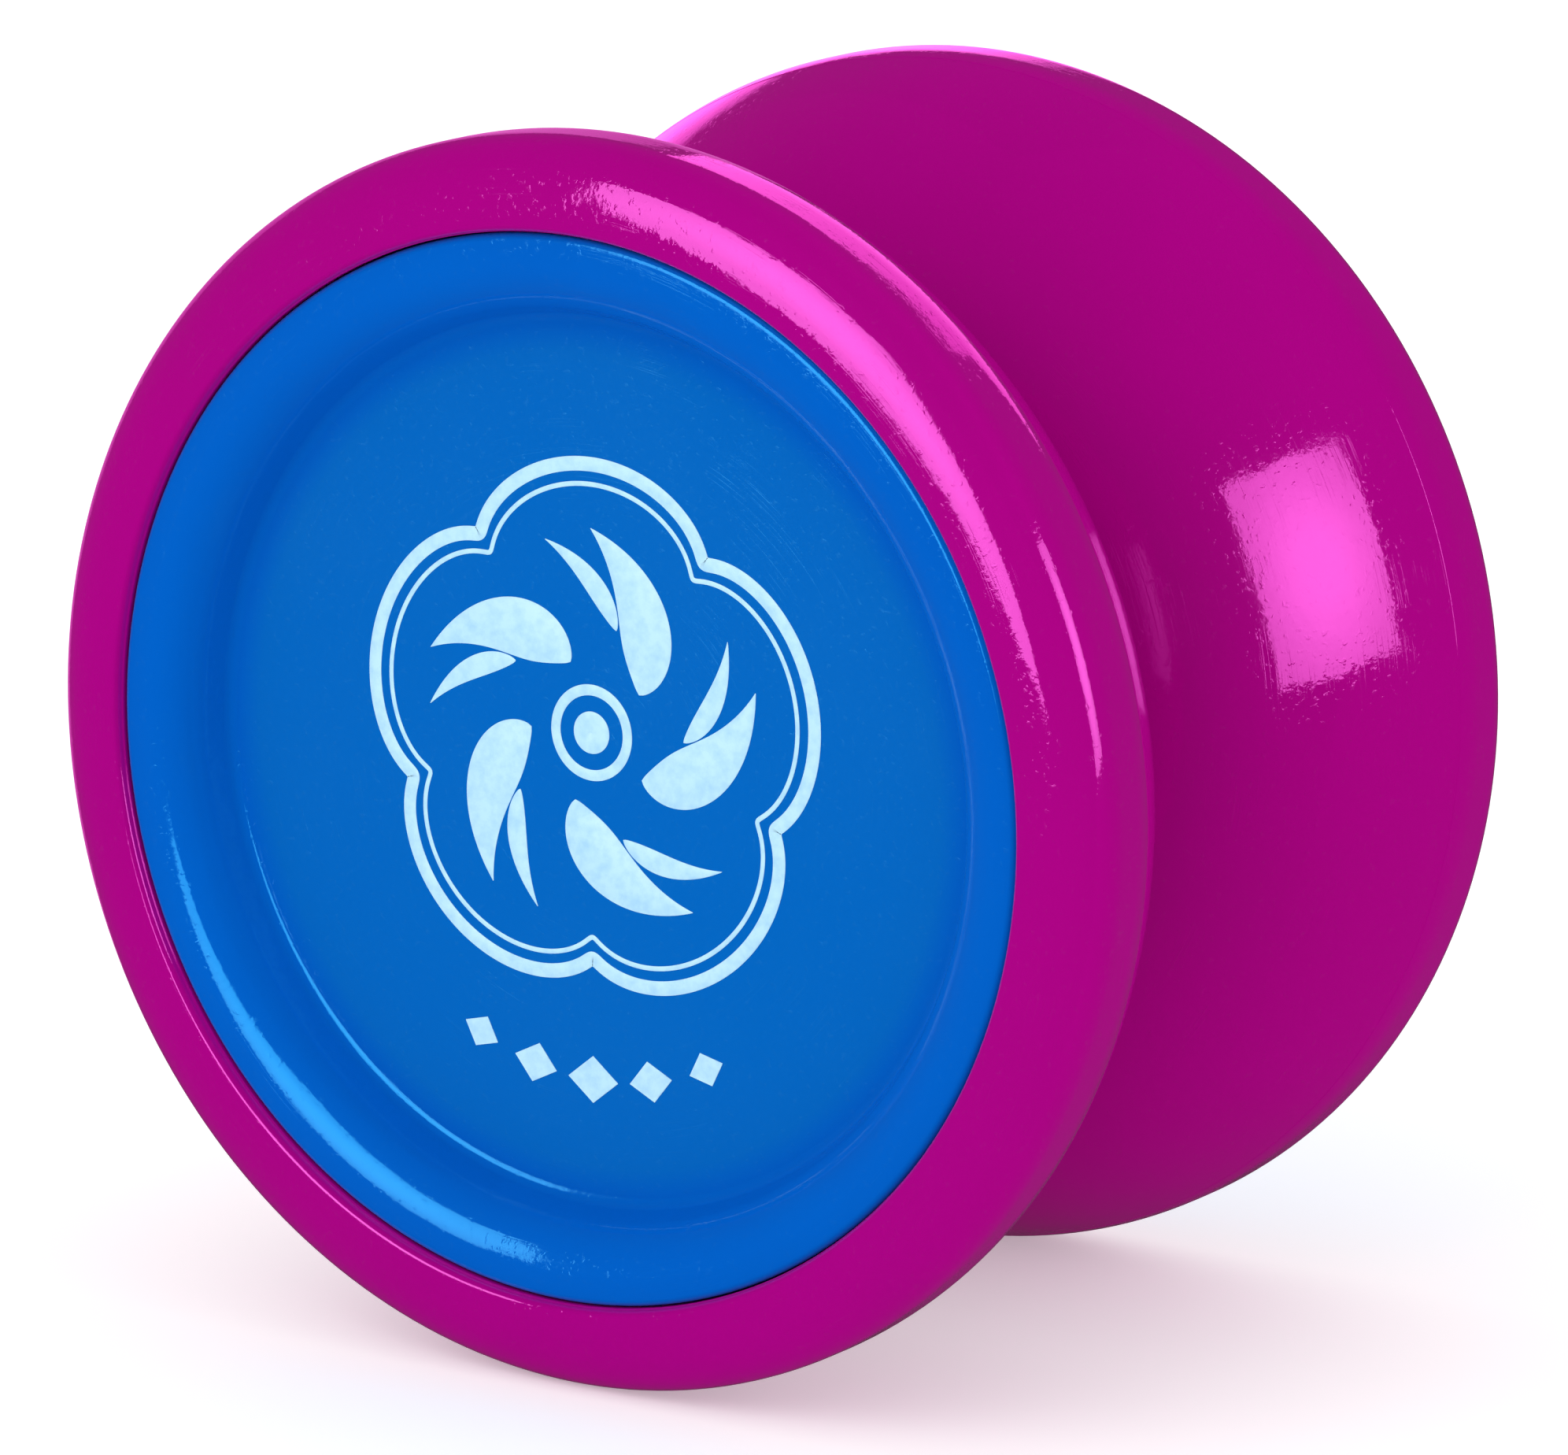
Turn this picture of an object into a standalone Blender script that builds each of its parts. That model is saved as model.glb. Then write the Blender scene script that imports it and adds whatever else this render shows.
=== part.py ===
"""A wide-rimmed ball-bearing yo-yo, taken apart into its real pieces.

The axle lies along Y and the origin is at the middle of the axle, between the two halves, so the toy
stands on its two rims with Z up. Each half is built in its own frame, in which +Y points away from the
middle plane. The rear half's frame is the world's, and the front half's is turned half a turn about Z.
Outlines of turned pieces are lists of (radius, distance along the axle) in metres.
"""

import math

import bmesh
import bpy
from mathutils import Matrix, Vector

MM = 0.001

# Overall shape of a half
RIM_RADIUS = 28.5 * MM
HALF_WIDTH = 18.3 * MM  # middle plane to the crest of the rim
STRING_GAP = 2.5 * MM  # between the two hub faces
HUB_RADIUS = 12.0 * MM  # where the flared wall leaves the flat hub face
FLARE_START = 20.0  # degrees between the wall's normal and the radius, at the rim
CREST_WIDTH = 0.6 * MM  # flat ring at the crest, on which the toy lies on its side
SHOULDER_RADIAL = 3.15 * MM  # the rim's rounding, crest to land
SHOULDER_AXIAL = 2.35 * MM
LAND_WIDTH = 1.8 * MM  # outside of the rim, straight but for the edge's round
EDGE_RADIUS = 4.0 * MM  # between the land and the flared wall
WALL = 2.6 * MM  # thickness of the bowl, measured along the axle
RIM_WALL = 4.17 * MM  # the heavy rim, around the cap

# Cap and its seat in the rim
CAP_SINK = 0.4 * MM  # the seam lies this far below the crest
CAP_FIT = 0.06 * MM
SEAM_BREAK = 0.15 * MM  # broken edge of the rim at the seam
SEAM_BULGE = 0.07 * MM  # the rim's slope down to the seam is this much fuller than straight
CAP_SKIRT = 3.5 * MM  # seam to the foot of the skirt
CAP_SKIRT_WALL = 1.5 * MM
CAP_THICKNESS = 1.5 * MM
CAP_EDGE_RADIUS = 0.35 * MM
CAP_LIP = 0.69 * MM  # flat of the lip, between its outer edge and the dish
CAP_FACE_DEPTH = 2.85 * MM  # the flat face below the seam
BROW_RADIUS = 2.7 * MM  # the round from the lip into the dish
DISH_STEEPNESS = 68.0  # degrees, where the brow meets the foot fillet
DISH_FOOT_RADIUS = 0.6 * MM
SNAP_HEIGHT = 0.2 * MM  # bead on the skirt, in a groove of the rim
SNAP_WIDTH = 0.8 * MM
SNAP_TO_FOOT = 1.0 * MM  # middle of the bead above the skirt's foot
SEAT_LEDGE = 1.7 * MM  # ledge that carries the skirt's foot

# Hub, and the axle: a headless stud in two hex nuts
BOSS_RADIUS = 7.5 * MM
BOSS_CHAMFER = 0.5 * MM
BOSS_TO_CAP = 1.55 * MM
THREAD_RADIUS = 2.0 * MM
STUD_PROUD = 0.4 * MM  # stud past the nuts
STUD_CHAMFER = 0.4 * MM
HUB_BORE_CLEARANCE = 0.15 * MM
THREAD_CLEARANCE = 0.05 * MM
NUT_FLATS = 7.0 * MM
NUT_HEIGHT = 3.2 * MM
NUT_CHAMFER = 30.0  # degrees
NUT_FACE_INSET = 0.15 * MM  # round land inside the flats
NUT_FACE_DROP = 0.08 * MM
NUT_FIT = 0.07 * MM

# Ball bearing
BEARING_OUTER_RADIUS = 4.76 * MM
BEARING_WIDTH = 3.18 * MM
RING_FLOOR = 0.4 * MM  # from a ball to the bore or to the outside
BALL_COUNT = 8
RACE_CLEARANCE = 0.04 * MM
RACE_DEPTH = 0.25 * MM
CAGE_GAP = 0.12 * MM  # between the cage and each ring
CAGE_WEB = 0.24 * MM  # ring of the crown behind the balls
CAGE_PRONG = 0.35 * MM  # prongs past the middle of the balls
CAGE_CLEARANCE = 0.05 * MM
SHIELD_THICKNESS = 0.15 * MM
SHIELD_DEPTH = 0.39 * MM  # step in the outer ring for a shield and its clip
SHIELD_STEP = 0.18 * MM
SHIELD_CLEARANCE = 0.12 * MM
CLIP_WIRE_RADIUS = 0.1 * MM
CLIP_GAP = 30.0  # degrees

# Spacers between the bearing and the halves
SPACER_STUB_WALL = 0.28 * MM
SPACER_FLANGE_RADIUS = 3.4 * MM
SPACER_FLANGE_WIDTH = 2.05 * MM
SPACER_STUB_GAP = 0.3 * MM  # between the two stubs inside the bearing
FACE_CLEARANCE = 0.02 * MM
SLIDE_CLEARANCE = 0.05 * MM
BEARING_POCKET_CLEARANCE = 0.39 * MM
BEARING_FACE_CLEARANCE = 0.16 * MM

# Response pads
PAD_INNER_RADIUS = 6.4 * MM
PAD_OUTER_RADIUS = 9.5 * MM
PAD_THICKNESS = 0.8 * MM
PAD_SINK = 0.05 * MM  # the pad below the hub face

# Facets. A piece that fits closely in a half has as many as the half.
LARGE_STEPS = 40
SMALL_STEPS = 24
NUT_STEPS = 24
POCKET_STEPS = 12
CLIP_STEPS = 20
FLARE_STEPS = 10
SHOULDER_STEPS = 5
CAVITY_STEPS = 4
BROW_STEPS = 4
EDGE_STEPS = 2
RACE_STEPS = 4
SHARP_EDGE = 35.0  # degrees
MERGE = 1e-6

# Places that follow from the sizes above
SEAM = HALF_WIDTH - CAP_SINK
CREST_OUTER = RIM_RADIUS - SHOULDER_RADIAL
CREST_INNER = CREST_OUTER - CREST_WIDTH
LAND_START = HALF_WIDTH - SHOULDER_AXIAL
RIM_EDGE = LAND_START - LAND_WIDTH
HUB_FACE = STRING_GAP / 2
CAP_SEAT_RADIUS = RIM_RADIUS - RIM_WALL
CAP_RADIUS = CAP_SEAT_RADIUS - CAP_FIT
SKIRT_FOOT = SEAM - CAP_SKIRT
SNAP_MIDDLE = SKIRT_FOOT + SNAP_TO_FOOT
CAP_FACE = SEAM - CAP_FACE_DEPTH
BOSS_TOP = CAP_FACE - CAP_THICKNESS - BOSS_TO_CAP
NUT_BASE = BOSS_TOP - NUT_HEIGHT
STUD_HALF_LENGTH = BOSS_TOP + STUD_PROUD
BEARING_BORE_RADIUS = THREAD_RADIUS + SPACER_STUB_WALL + 2 * SLIDE_CLEARANCE
BEARING_FACE = BEARING_WIDTH / 2
PITCH_RADIUS = (BEARING_BORE_RADIUS + BEARING_OUTER_RADIUS) / 2
BALL_RADIUS = (BEARING_OUTER_RADIUS - BEARING_BORE_RADIUS) / 2 - RING_FLOOR
RACE_RADIUS = BALL_RADIUS + RACE_CLEARANCE
INNER_LAND = PITCH_RADIUS - RACE_RADIUS + RACE_DEPTH
OUTER_LAND = PITCH_RADIUS + RACE_RADIUS - RACE_DEPTH
SHIELD_SEAT = OUTER_LAND + SHIELD_STEP
SPACER_FACE = BEARING_FACE + FACE_CLEARANCE
SPACER_END = SPACER_FACE + SPACER_FLANGE_WIDTH


def clear_scene():
    """Removes whatever the scene holds."""
    for obj in list(bpy.data.objects):
        bpy.data.objects.remove(obj, do_unlink=True)


def finish(name, rgb, roughness, metallic=0.0):
    """A Principled material of one colour."""
    material = bpy.data.materials.new(name)
    material.use_nodes = True
    shader = material.node_tree.nodes["Principled BSDF"]
    shader.inputs["Base Color"].default_value = (*rgb, 1.0)
    shader.inputs["Roughness"].default_value = roughness
    shader.inputs["Metallic"].default_value = metallic
    return material


def arc(centre, radii, start, end, steps):
    """Points of an elliptical arc; angles in degrees, from +radius towards +axle."""
    points = []
    for i in range(steps + 1):
        angle = math.radians(start + (end - start) * i / steps)
        points.append((centre[0] + radii[0] * math.cos(angle), centre[1] + radii[1] * math.sin(angle)))
    return points


def mesh_from(bm, name):
    """Turns a bmesh into a smooth-shaded mesh with its sharp edges marked."""
    bmesh.ops.recalc_face_normals(bm, faces=bm.faces)
    mesh = bpy.data.meshes.new(name)
    bm.to_mesh(mesh)
    bm.free()
    mesh.shade_smooth()
    mesh.set_sharp_from_angle(angle=math.radians(SHARP_EDGE))
    return mesh


def turned(name, outline, steps):
    """Spins an outline about Y, with its facets touching the true circle at their middles.

    An outline that starts and ends on the axis is left open there.
    """
    on_axis = outline[0][0] == 0 and outline[-1][0] == 0
    to_corner = 1 / math.cos(math.pi / steps)
    bm = bmesh.new()
    verts = [bm.verts.new((radius * to_corner, along, 0)) for radius, along in outline]
    following = verts[1:] if on_axis else verts[1:] + verts[:1]
    edges = [bm.edges.new(pair) for pair in zip(verts, following)]
    # Half a step of turn puts a flat, and not a corner, under the toy.
    half_step = Matrix.Rotation(math.pi / steps, 3, "Y")
    bmesh.ops.rotate(bm, verts=verts, cent=(0, 0, 0), matrix=half_step)
    bmesh.ops.spin(
        bm, geom=verts + edges, cent=(0, 0, 0), axis=(0, 1, 0), angle=math.tau, steps=steps, use_merge=True
    )
    bmesh.ops.remove_doubles(bm, verts=bm.verts, dist=MERGE)
    return mesh_from(bm, name)


def place(name, data, material, parent=None, location=(0, 0, 0)):
    """Adds an object for a mesh or a curve, in its parent's frame."""
    obj = bpy.data.objects.new(name, data)
    bpy.context.scene.collection.objects.link(obj)
    if not data.materials:
        data.materials.append(material)
    obj.parent = parent
    obj.location = location
    return obj


def frame(name, turn=0.0, parent=None):
    """An empty on the axle that carries pieces, turned about Z."""
    empty = bpy.data.objects.new(name, None)
    bpy.context.scene.collection.objects.link(empty)
    empty.parent = parent
    empty.rotation_euler = (0, 0, turn)
    return empty


def cut(obj, cutter):
    """Takes a helper's shape out of a piece."""
    cutter.hide_render = True
    cutter.display_type = "WIRE"
    modifier = obj.modifiers.new("cut_" + cutter.name, "BOOLEAN")
    modifier.operation = "DIFFERENCE"
    modifier.solver = "EXACT"
    modifier.object = cutter


def hex_prism(name, flats, base, top):
    """A hexagonal prism along Y, with two flats facing up and down."""
    bm = bmesh.new()
    corner = flats / 2 / math.cos(math.pi / 6)
    angles = [i * math.pi / 3 for i in range(6)]
    ring = [bm.verts.new((corner * math.cos(angle), base, corner * math.sin(angle))) for angle in angles]
    face = bm.faces.new(ring)
    grown = bmesh.ops.extrude_face_region(bm, geom=[face])["geom"]
    moved = [item for item in grown if isinstance(item, bmesh.types.BMVert)]
    bmesh.ops.translate(bm, verts=moved, vec=Vector((0, top - base, 0)))
    return mesh_from(bm, name)


def flare_circle():
    """Centre and radius of the flared wall, an arc from the rim's edge to the hub face.

    The circle leaves the rim's edge at FLARE_START and passes through the hub's edge.
    """
    start = math.radians(FLARE_START)
    run = RIM_RADIUS - HUB_RADIUS
    rise = RIM_EDGE - HUB_FACE
    radius = (run**2 + rise**2) / (2 * (run * math.cos(start) - rise * math.sin(start)))
    return (RIM_RADIUS - radius * math.cos(start), RIM_EDGE + radius * math.sin(start)), radius


def hub_points():
    """The hub face from the axle outwards: spacer seat, bearing pocket and pad groove."""
    bore = THREAD_RADIUS + HUB_BORE_CLEARANCE
    seat = SPACER_FLANGE_RADIUS + SLIDE_CLEARANCE
    seat_floor = SPACER_END + SLIDE_CLEARANCE
    pocket = BEARING_OUTER_RADIUS + BEARING_POCKET_CLEARANCE
    pocket_floor = BEARING_FACE + BEARING_FACE_CLEARANCE
    pad_inner = PAD_INNER_RADIUS - SLIDE_CLEARANCE
    pad_outer = PAD_OUTER_RADIUS + SLIDE_CLEARANCE
    pad_floor = HUB_FACE + PAD_SINK + PAD_THICKNESS + SLIDE_CLEARANCE
    points = [(bore, seat_floor), (seat, seat_floor), (seat, pocket_floor), (pocket, pocket_floor)]
    points += [(pocket, HUB_FACE), (pad_inner, HUB_FACE), (pad_inner, pad_floor)]
    return points + [(pad_outer, pad_floor), (pad_outer, HUB_FACE)]


def wall_points(centre, radius):
    """The outside of the bowl and of the rim, from the hub's edge to the crest."""
    edge_span = EDGE_RADIUS * math.tan(math.radians(FLARE_START) / 2)
    edge_centre = (RIM_RADIUS - EDGE_RADIUS, RIM_EDGE + edge_span)
    hub_angle = math.degrees(math.atan2(HUB_FACE - centre[1], HUB_RADIUS - centre[0]))
    flare_end = -FLARE_START - math.degrees(edge_span / radius)
    points = arc(centre, (radius, radius), hub_angle, flare_end, FLARE_STEPS)
    points += arc(edge_centre, (EDGE_RADIUS, EDGE_RADIUS), -FLARE_START, 0, EDGE_STEPS)
    shoulder = (SHOULDER_RADIAL, SHOULDER_AXIAL)
    return points + arc((CREST_OUTER, LAND_START), shoulder, 0, 90, SHOULDER_STEPS)


def snap_points(radius, width):
    """The four points of the snap bead, or of its groove, from the seam side to the foot."""
    half = width / 2
    return [
        (radius, SNAP_MIDDLE + half),
        (radius + SNAP_HEIGHT, SNAP_MIDDLE + half / 2),
        (radius + SNAP_HEIGHT, SNAP_MIDDLE - half / 2),
        (radius, SNAP_MIDDLE - half),
    ]


def seat_points():
    """The rim from its crest down past the seam to the ledge under the cap's skirt."""
    ledge = SKIRT_FOOT - CAP_FIT
    seam_edge = CAP_SEAT_RADIUS + SEAM_BREAK
    points = [
        (CREST_INNER, HALF_WIDTH),
        ((CREST_INNER + seam_edge) / 2, (HALF_WIDTH + SEAM) / 2 + SEAM_BULGE),
        (seam_edge, SEAM),
        (CAP_SEAT_RADIUS, SEAM - SEAM_BREAK),
    ]
    points += snap_points(CAP_SEAT_RADIUS, SNAP_WIDTH + 2 * CAP_FIT)
    return points + [(CAP_SEAT_RADIUS, ledge), (CAP_SEAT_RADIUS - SEAT_LEDGE, ledge)]


def cavity_points(centre, radius):
    """The inside of the bowl, which is the flared wall moved along the axle, and the hub's boss."""
    inner_centre = (centre[0], centre[1] + WALL)
    across = CAP_SEAT_RADIUS - SEAT_LEDGE - centre[0]
    start = -math.degrees(math.acos(across / radius))
    end = math.degrees(math.atan2(HUB_FACE - centre[1], HUB_RADIUS - centre[0]))
    points = arc(inner_centre, (radius, radius), start, end, CAVITY_STEPS)
    return points + [
        (BOSS_RADIUS, HUB_FACE + WALL),
        (BOSS_RADIUS, BOSS_TOP - BOSS_CHAMFER),
        (BOSS_RADIUS - BOSS_CHAMFER, BOSS_TOP),
        (THREAD_RADIUS + HUB_BORE_CLEARANCE, BOSS_TOP),
    ]


def shell_outline():
    """A half's body, all the way round its section."""
    centre, radius = flare_circle()
    return hub_points() + wall_points(centre, radius) + seat_points() + cavity_points(centre, radius)


def cap_outline():
    """The cap: a flat face in a dish, a rounded brow and a snap-in skirt."""
    steep = math.radians(DISH_STEEPNESS)
    foot_rise = DISH_FOOT_RADIUS * (1 - math.cos(steep))
    foot_run = DISH_FOOT_RADIUS * math.sin(steep)
    brow_rise = BROW_RADIUS * (1 - math.cos(steep))
    brow_run = BROW_RADIUS * math.sin(steep)
    slope_run = (CAP_FACE_DEPTH - foot_rise - brow_rise) / math.tan(steep)
    edge_centre = (CAP_RADIUS - CAP_EDGE_RADIUS, SEAM - CAP_EDGE_RADIUS)
    brow_centre = (edge_centre[0] - CAP_LIP, SEAM - BROW_RADIUS)
    face_radius = brow_centre[0] - brow_run - slope_run - foot_run
    foot_centre = (face_radius, CAP_FACE + DISH_FOOT_RADIUS)
    under = CAP_FACE - CAP_THICKNESS
    skirt_inner = CAP_RADIUS - CAP_SKIRT_WALL
    skirt_root = SKIRT_FOOT + CAP_SKIRT_WALL

    outline = [(0, CAP_FACE)]
    outline += arc(foot_centre, (DISH_FOOT_RADIUS, DISH_FOOT_RADIUS), -90, DISH_STEEPNESS - 90, EDGE_STEPS)
    outline += arc(brow_centre, (BROW_RADIUS, BROW_RADIUS), 90 + DISH_STEEPNESS, 90, BROW_STEPS)
    outline += arc(edge_centre, (CAP_EDGE_RADIUS, CAP_EDGE_RADIUS), 90, 0, EDGE_STEPS)
    outline += snap_points(CAP_RADIUS, SNAP_WIDTH)
    outline += [(CAP_RADIUS, SKIRT_FOOT), (skirt_inner, SKIRT_FOOT), (skirt_inner, skirt_root)]
    return outline + [(face_radius + CAP_THICKNESS / 2, under), (0, under)]


def hexagon_ring(bm, base, drop):
    """Corners along the nut's hexagon, whose chamfered edge lies off base by drop at the furthest."""
    flat = NUT_FLATS / 2
    furthest = flat / math.cos(math.pi / 6)
    ring = []
    for i in range(NUT_STEPS):
        angle = math.tau * i / NUT_STEPS
        reach = flat / math.cos(math.pi / 6 - angle % (math.pi / 3))
        along = base + drop * (reach - flat) / (furthest - flat)
        ring.append(bm.verts.new((reach * math.cos(angle), along, reach * math.sin(angle))))
    return ring


def round_ring(bm, radius, along):
    """A round ring of corners on one of the nut's end faces."""
    angles = [math.tau * i / NUT_STEPS for i in range(NUT_STEPS)]
    return [bm.verts.new((radius * math.cos(angle), along, radius * math.sin(angle))) for angle in angles]


def nut_mesh():
    """A hex nut whose corners are cut back by a chamfer cone at both ends."""
    flat = NUT_FLATS / 2
    drop = (flat / math.cos(math.pi / 6) - flat) * math.tan(math.radians(NUT_CHAMFER))
    bore = (THREAD_RADIUS + THREAD_CLEARANCE) / math.cos(math.pi / NUT_STEPS)
    land = flat - NUT_FACE_INSET
    bm = bmesh.new()
    rings = [
        round_ring(bm, bore, NUT_BASE),
        round_ring(bm, land, NUT_BASE),
        hexagon_ring(bm, NUT_BASE + NUT_FACE_DROP, drop),
        hexagon_ring(bm, BOSS_TOP - NUT_FACE_DROP, -drop),
        round_ring(bm, land, BOSS_TOP),
        round_ring(bm, bore, BOSS_TOP),
    ]
    for first, second in zip(rings, rings[1:] + rings[:1]):
        for i in range(NUT_STEPS):
            j = (i + 1) % NUT_STEPS
            bm.faces.new((first[i], first[j], second[j], second[i]))
    return mesh_from(bm, "nut")


def spacer_outline():
    """A flanged sleeve: its stub carries the bearing, its flange sits in the half."""
    bore = THREAD_RADIUS + SLIDE_CLEARANCE
    stub = bore + SPACER_STUB_WALL
    stub_end = SPACER_STUB_GAP / 2
    outline = [(bore, stub_end), (stub, stub_end), (stub, SPACER_FACE)]
    outline += [(SPACER_FLANGE_RADIUS, SPACER_FACE), (SPACER_FLANGE_RADIUS, SPACER_END)]
    return outline + [(bore, SPACER_END)]


def pad_outline():
    """A flat ring of friction material."""
    face = HUB_FACE + PAD_SINK
    back = face + PAD_THICKNESS
    outline = [(PAD_INNER_RADIUS, face), (PAD_OUTER_RADIUS, face)]
    return outline + [(PAD_OUTER_RADIUS, back), (PAD_INNER_RADIUS, back)]


def stud_outline():
    """The headless stud that both nuts turn on."""
    end = STUD_HALF_LENGTH
    straight = STUD_HALF_LENGTH - STUD_CHAMFER
    tip = THREAD_RADIUS - STUD_CHAMFER
    outline = [(0, -end), (tip, -end), (THREAD_RADIUS, -straight)]
    return outline + [(THREAD_RADIUS, straight), (tip, end), (0, end)]


def race_points(land, middle):
    """The ball groove in a ring, across the middle plane; middle is its direction in degrees."""
    half_angle = math.degrees(math.acos(abs(land - PITCH_RADIUS) / RACE_RADIUS))
    radii = (RACE_RADIUS, RACE_RADIUS)
    return arc((PITCH_RADIUS, 0), radii, middle - half_angle, middle + half_angle, RACE_STEPS)


def inner_ring_outline():
    """The ring on the spacers' stubs, grooved outside."""
    outline = [(INNER_LAND, -BEARING_FACE), (BEARING_BORE_RADIUS, -BEARING_FACE)]
    outline += [(BEARING_BORE_RADIUS, BEARING_FACE), (INNER_LAND, BEARING_FACE)]
    return outline + race_points(INNER_LAND, 180)


def outer_ring_outline():
    """The ring that the string turns, grooved inside and stepped for the shields."""
    step = BEARING_FACE - SHIELD_DEPTH
    outline = race_points(OUTER_LAND, 0)
    outline += [(OUTER_LAND, step), (SHIELD_SEAT, step), (SHIELD_SEAT, BEARING_FACE)]
    outline += [(BEARING_OUTER_RADIUS, BEARING_FACE), (BEARING_OUTER_RADIUS, -BEARING_FACE)]
    return outline + [(SHIELD_SEAT, -BEARING_FACE), (SHIELD_SEAT, -step), (OUTER_LAND, -step)]


def shield_outline():
    """A thin washer that closes one side of the bearing."""
    inner = INNER_LAND + SHIELD_CLEARANCE
    outer = SHIELD_SEAT - SLIDE_CLEARANCE
    near = BEARING_FACE - SHIELD_DEPTH + FACE_CLEARANCE
    far = near + SHIELD_THICKNESS
    return [(inner, near), (outer, near), (outer, far), (inner, far)]


def clip_curve():
    """The split wire ring that holds a shield, its gap at the top."""
    curve = bpy.data.curves.new("clip", "CURVE")
    curve.dimensions = "3D"
    curve.bevel_depth = CLIP_WIRE_RADIUS
    curve.bevel_resolution = 1
    curve.use_fill_caps = True
    radius = SHIELD_SEAT - CLIP_WIRE_RADIUS - SLIDE_CLEARANCE
    along = BEARING_FACE - CLIP_WIRE_RADIUS - FACE_CLEARANCE
    spline = curve.splines.new("POLY")
    spline.points.add(CLIP_STEPS)
    for i in range(CLIP_STEPS + 1):
        angle = math.radians(90 + CLIP_GAP / 2 + (360 - CLIP_GAP) * i / CLIP_STEPS)
        spline.points[i].co = (radius * math.cos(angle), along, radius * math.sin(angle), 1)
    return curve


def cage_outline():
    """The plain ring from which the crown cage is cut."""
    inner = INNER_LAND + CAGE_GAP
    outer = OUTER_LAND - CAGE_GAP
    back = -(BALL_RADIUS + CAGE_CLEARANCE + CAGE_WEB)
    return [(inner, back), (outer, back), (outer, CAGE_PRONG), (inner, CAGE_PRONG)]


def ball_place(number):
    """Centre of a ball on the pitch circle."""
    angle = math.tau * (number + 0.5) / BALL_COUNT
    return Vector((PITCH_RADIUS * math.cos(angle), 0, PITCH_RADIUS * math.sin(angle)))


def build_half(side, carrier, meshes, materials):
    """Places one half's pieces and cuts the pocket for its nut."""
    shell = place(f"{side}_shell", meshes["shell"], materials["shell"], carrier)
    place(f"{side}_cap", meshes["cap"], materials["cap"], carrier)
    place(f"{side}_nut", meshes["nut"], materials["steel"], carrier)
    place(f"{side}_spacer", meshes["spacer"], materials["spacer"], carrier)
    place(f"{side}_response_pad", meshes["pad"], materials["pad"], carrier)
    pocket = hex_prism("nut_pocket", NUT_FLATS + 2 * NUT_FIT, NUT_BASE - NUT_FIT, CAP_FACE)
    cut(shell, place(f"{side}_nut_pocket_cutter", pocket, materials["steel"], carrier))


def build_rings(materials):
    """The bearing's rings, and the shields and clips that turn with the outer one."""
    steel = materials["steel"]
    place("bearing_inner_ring", turned("inner_ring", inner_ring_outline(), SMALL_STEPS), steel)
    carrier = frame("bearing_outer_frame")
    place("bearing_outer_ring", turned("outer_ring", outer_ring_outline(), SMALL_STEPS), steel, carrier)
    shield = turned("shield", shield_outline(), SMALL_STEPS)
    clip = clip_curve()
    for side, turn in (("front", math.pi), ("rear", 0.0)):
        holder = frame(f"{side}_shield_frame", turn, carrier)
        place(f"{side}_bearing_shield", shield, steel, holder)
        place(f"{side}_shield_clip", clip, steel, holder)


def build_cage(materials):
    """The crown cage and its balls, which travel round together."""
    carrier = frame("cage_frame")
    ring = turned("cage", cage_outline(), SMALL_STEPS)
    cage = place("bearing_cage", ring, materials["cage"], carrier)
    ball = bmesh.new()
    bmesh.ops.create_icosphere(ball, subdivisions=2, radius=BALL_RADIUS)
    ball_mesh = mesh_from(ball, "ball")
    pockets = bmesh.new()
    pocket_radius = BALL_RADIUS + CAGE_CLEARANCE
    for number in range(BALL_COUNT):
        centre = ball_place(number)
        spot = Matrix.Translation(centre)
        bmesh.ops.create_uvsphere(
            pockets, u_segments=POCKET_STEPS, v_segments=POCKET_STEPS // 2, radius=pocket_radius, matrix=spot
        )
        place(f"ball_{number + 1}", ball_mesh, materials["steel"], carrier, centre)
    cut(cage, place("cage_pocket_cutter", mesh_from(pockets, "cage_pockets"), materials["steel"], carrier))


def main():
    """Builds the yo-yo."""
    clear_scene()
    materials = {
        "shell": finish("magenta_plastic", (0.39, 0.001, 0.22), 0.18),
        "cap": finish("blue_plastic", (0.001, 0.10, 0.50), 0.22),
        "pad": finish("friction_pad", (0.75, 0.74, 0.70), 0.85),
        "steel": finish("bearing_steel", (0.62, 0.62, 0.64), 0.25, 1.0),
        "spacer": finish("turned_aluminium", (0.78, 0.78, 0.80), 0.35, 1.0),
        "cage": finish("brass_cage", (0.72, 0.52, 0.22), 0.35, 1.0),
    }
    meshes = {
        "shell": turned("shell", shell_outline(), LARGE_STEPS),
        "cap": turned("cap", cap_outline(), LARGE_STEPS),
        "nut": nut_mesh(),
        "spacer": turned("spacer", spacer_outline(), SMALL_STEPS),
        "pad": turned("pad", pad_outline(), LARGE_STEPS),
    }
    build_half("front", frame("front_half_frame", math.pi), meshes, materials)
    build_half("rear", frame("rear_half_frame"), meshes, materials)
    place("axle_stud", turned("stud", stud_outline(), SMALL_STEPS), materials["steel"])
    build_rings(materials)
    build_cage(materials)


main()
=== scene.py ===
"""The looks of a wide-rimmed ball-bearing yo-yo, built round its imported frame.

The axle lies along Y with the origin at its middle, and the toy stands on its two rims with Z up.
Each half is drawn in its own frame, in which +Y points away from the middle plane. The rear half's
frame is the world's, and the front half's is turned half a turn about Z. An outline is an array of
stations, each a radius and a distance along the axle in metres. A third column says how far the
station's circle is pulled into a hexagon, from 0 to 1.
"""

import logging
import math
from collections.abc import Callable, Sequence
from dataclasses import dataclass, field
from enum import Enum

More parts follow.
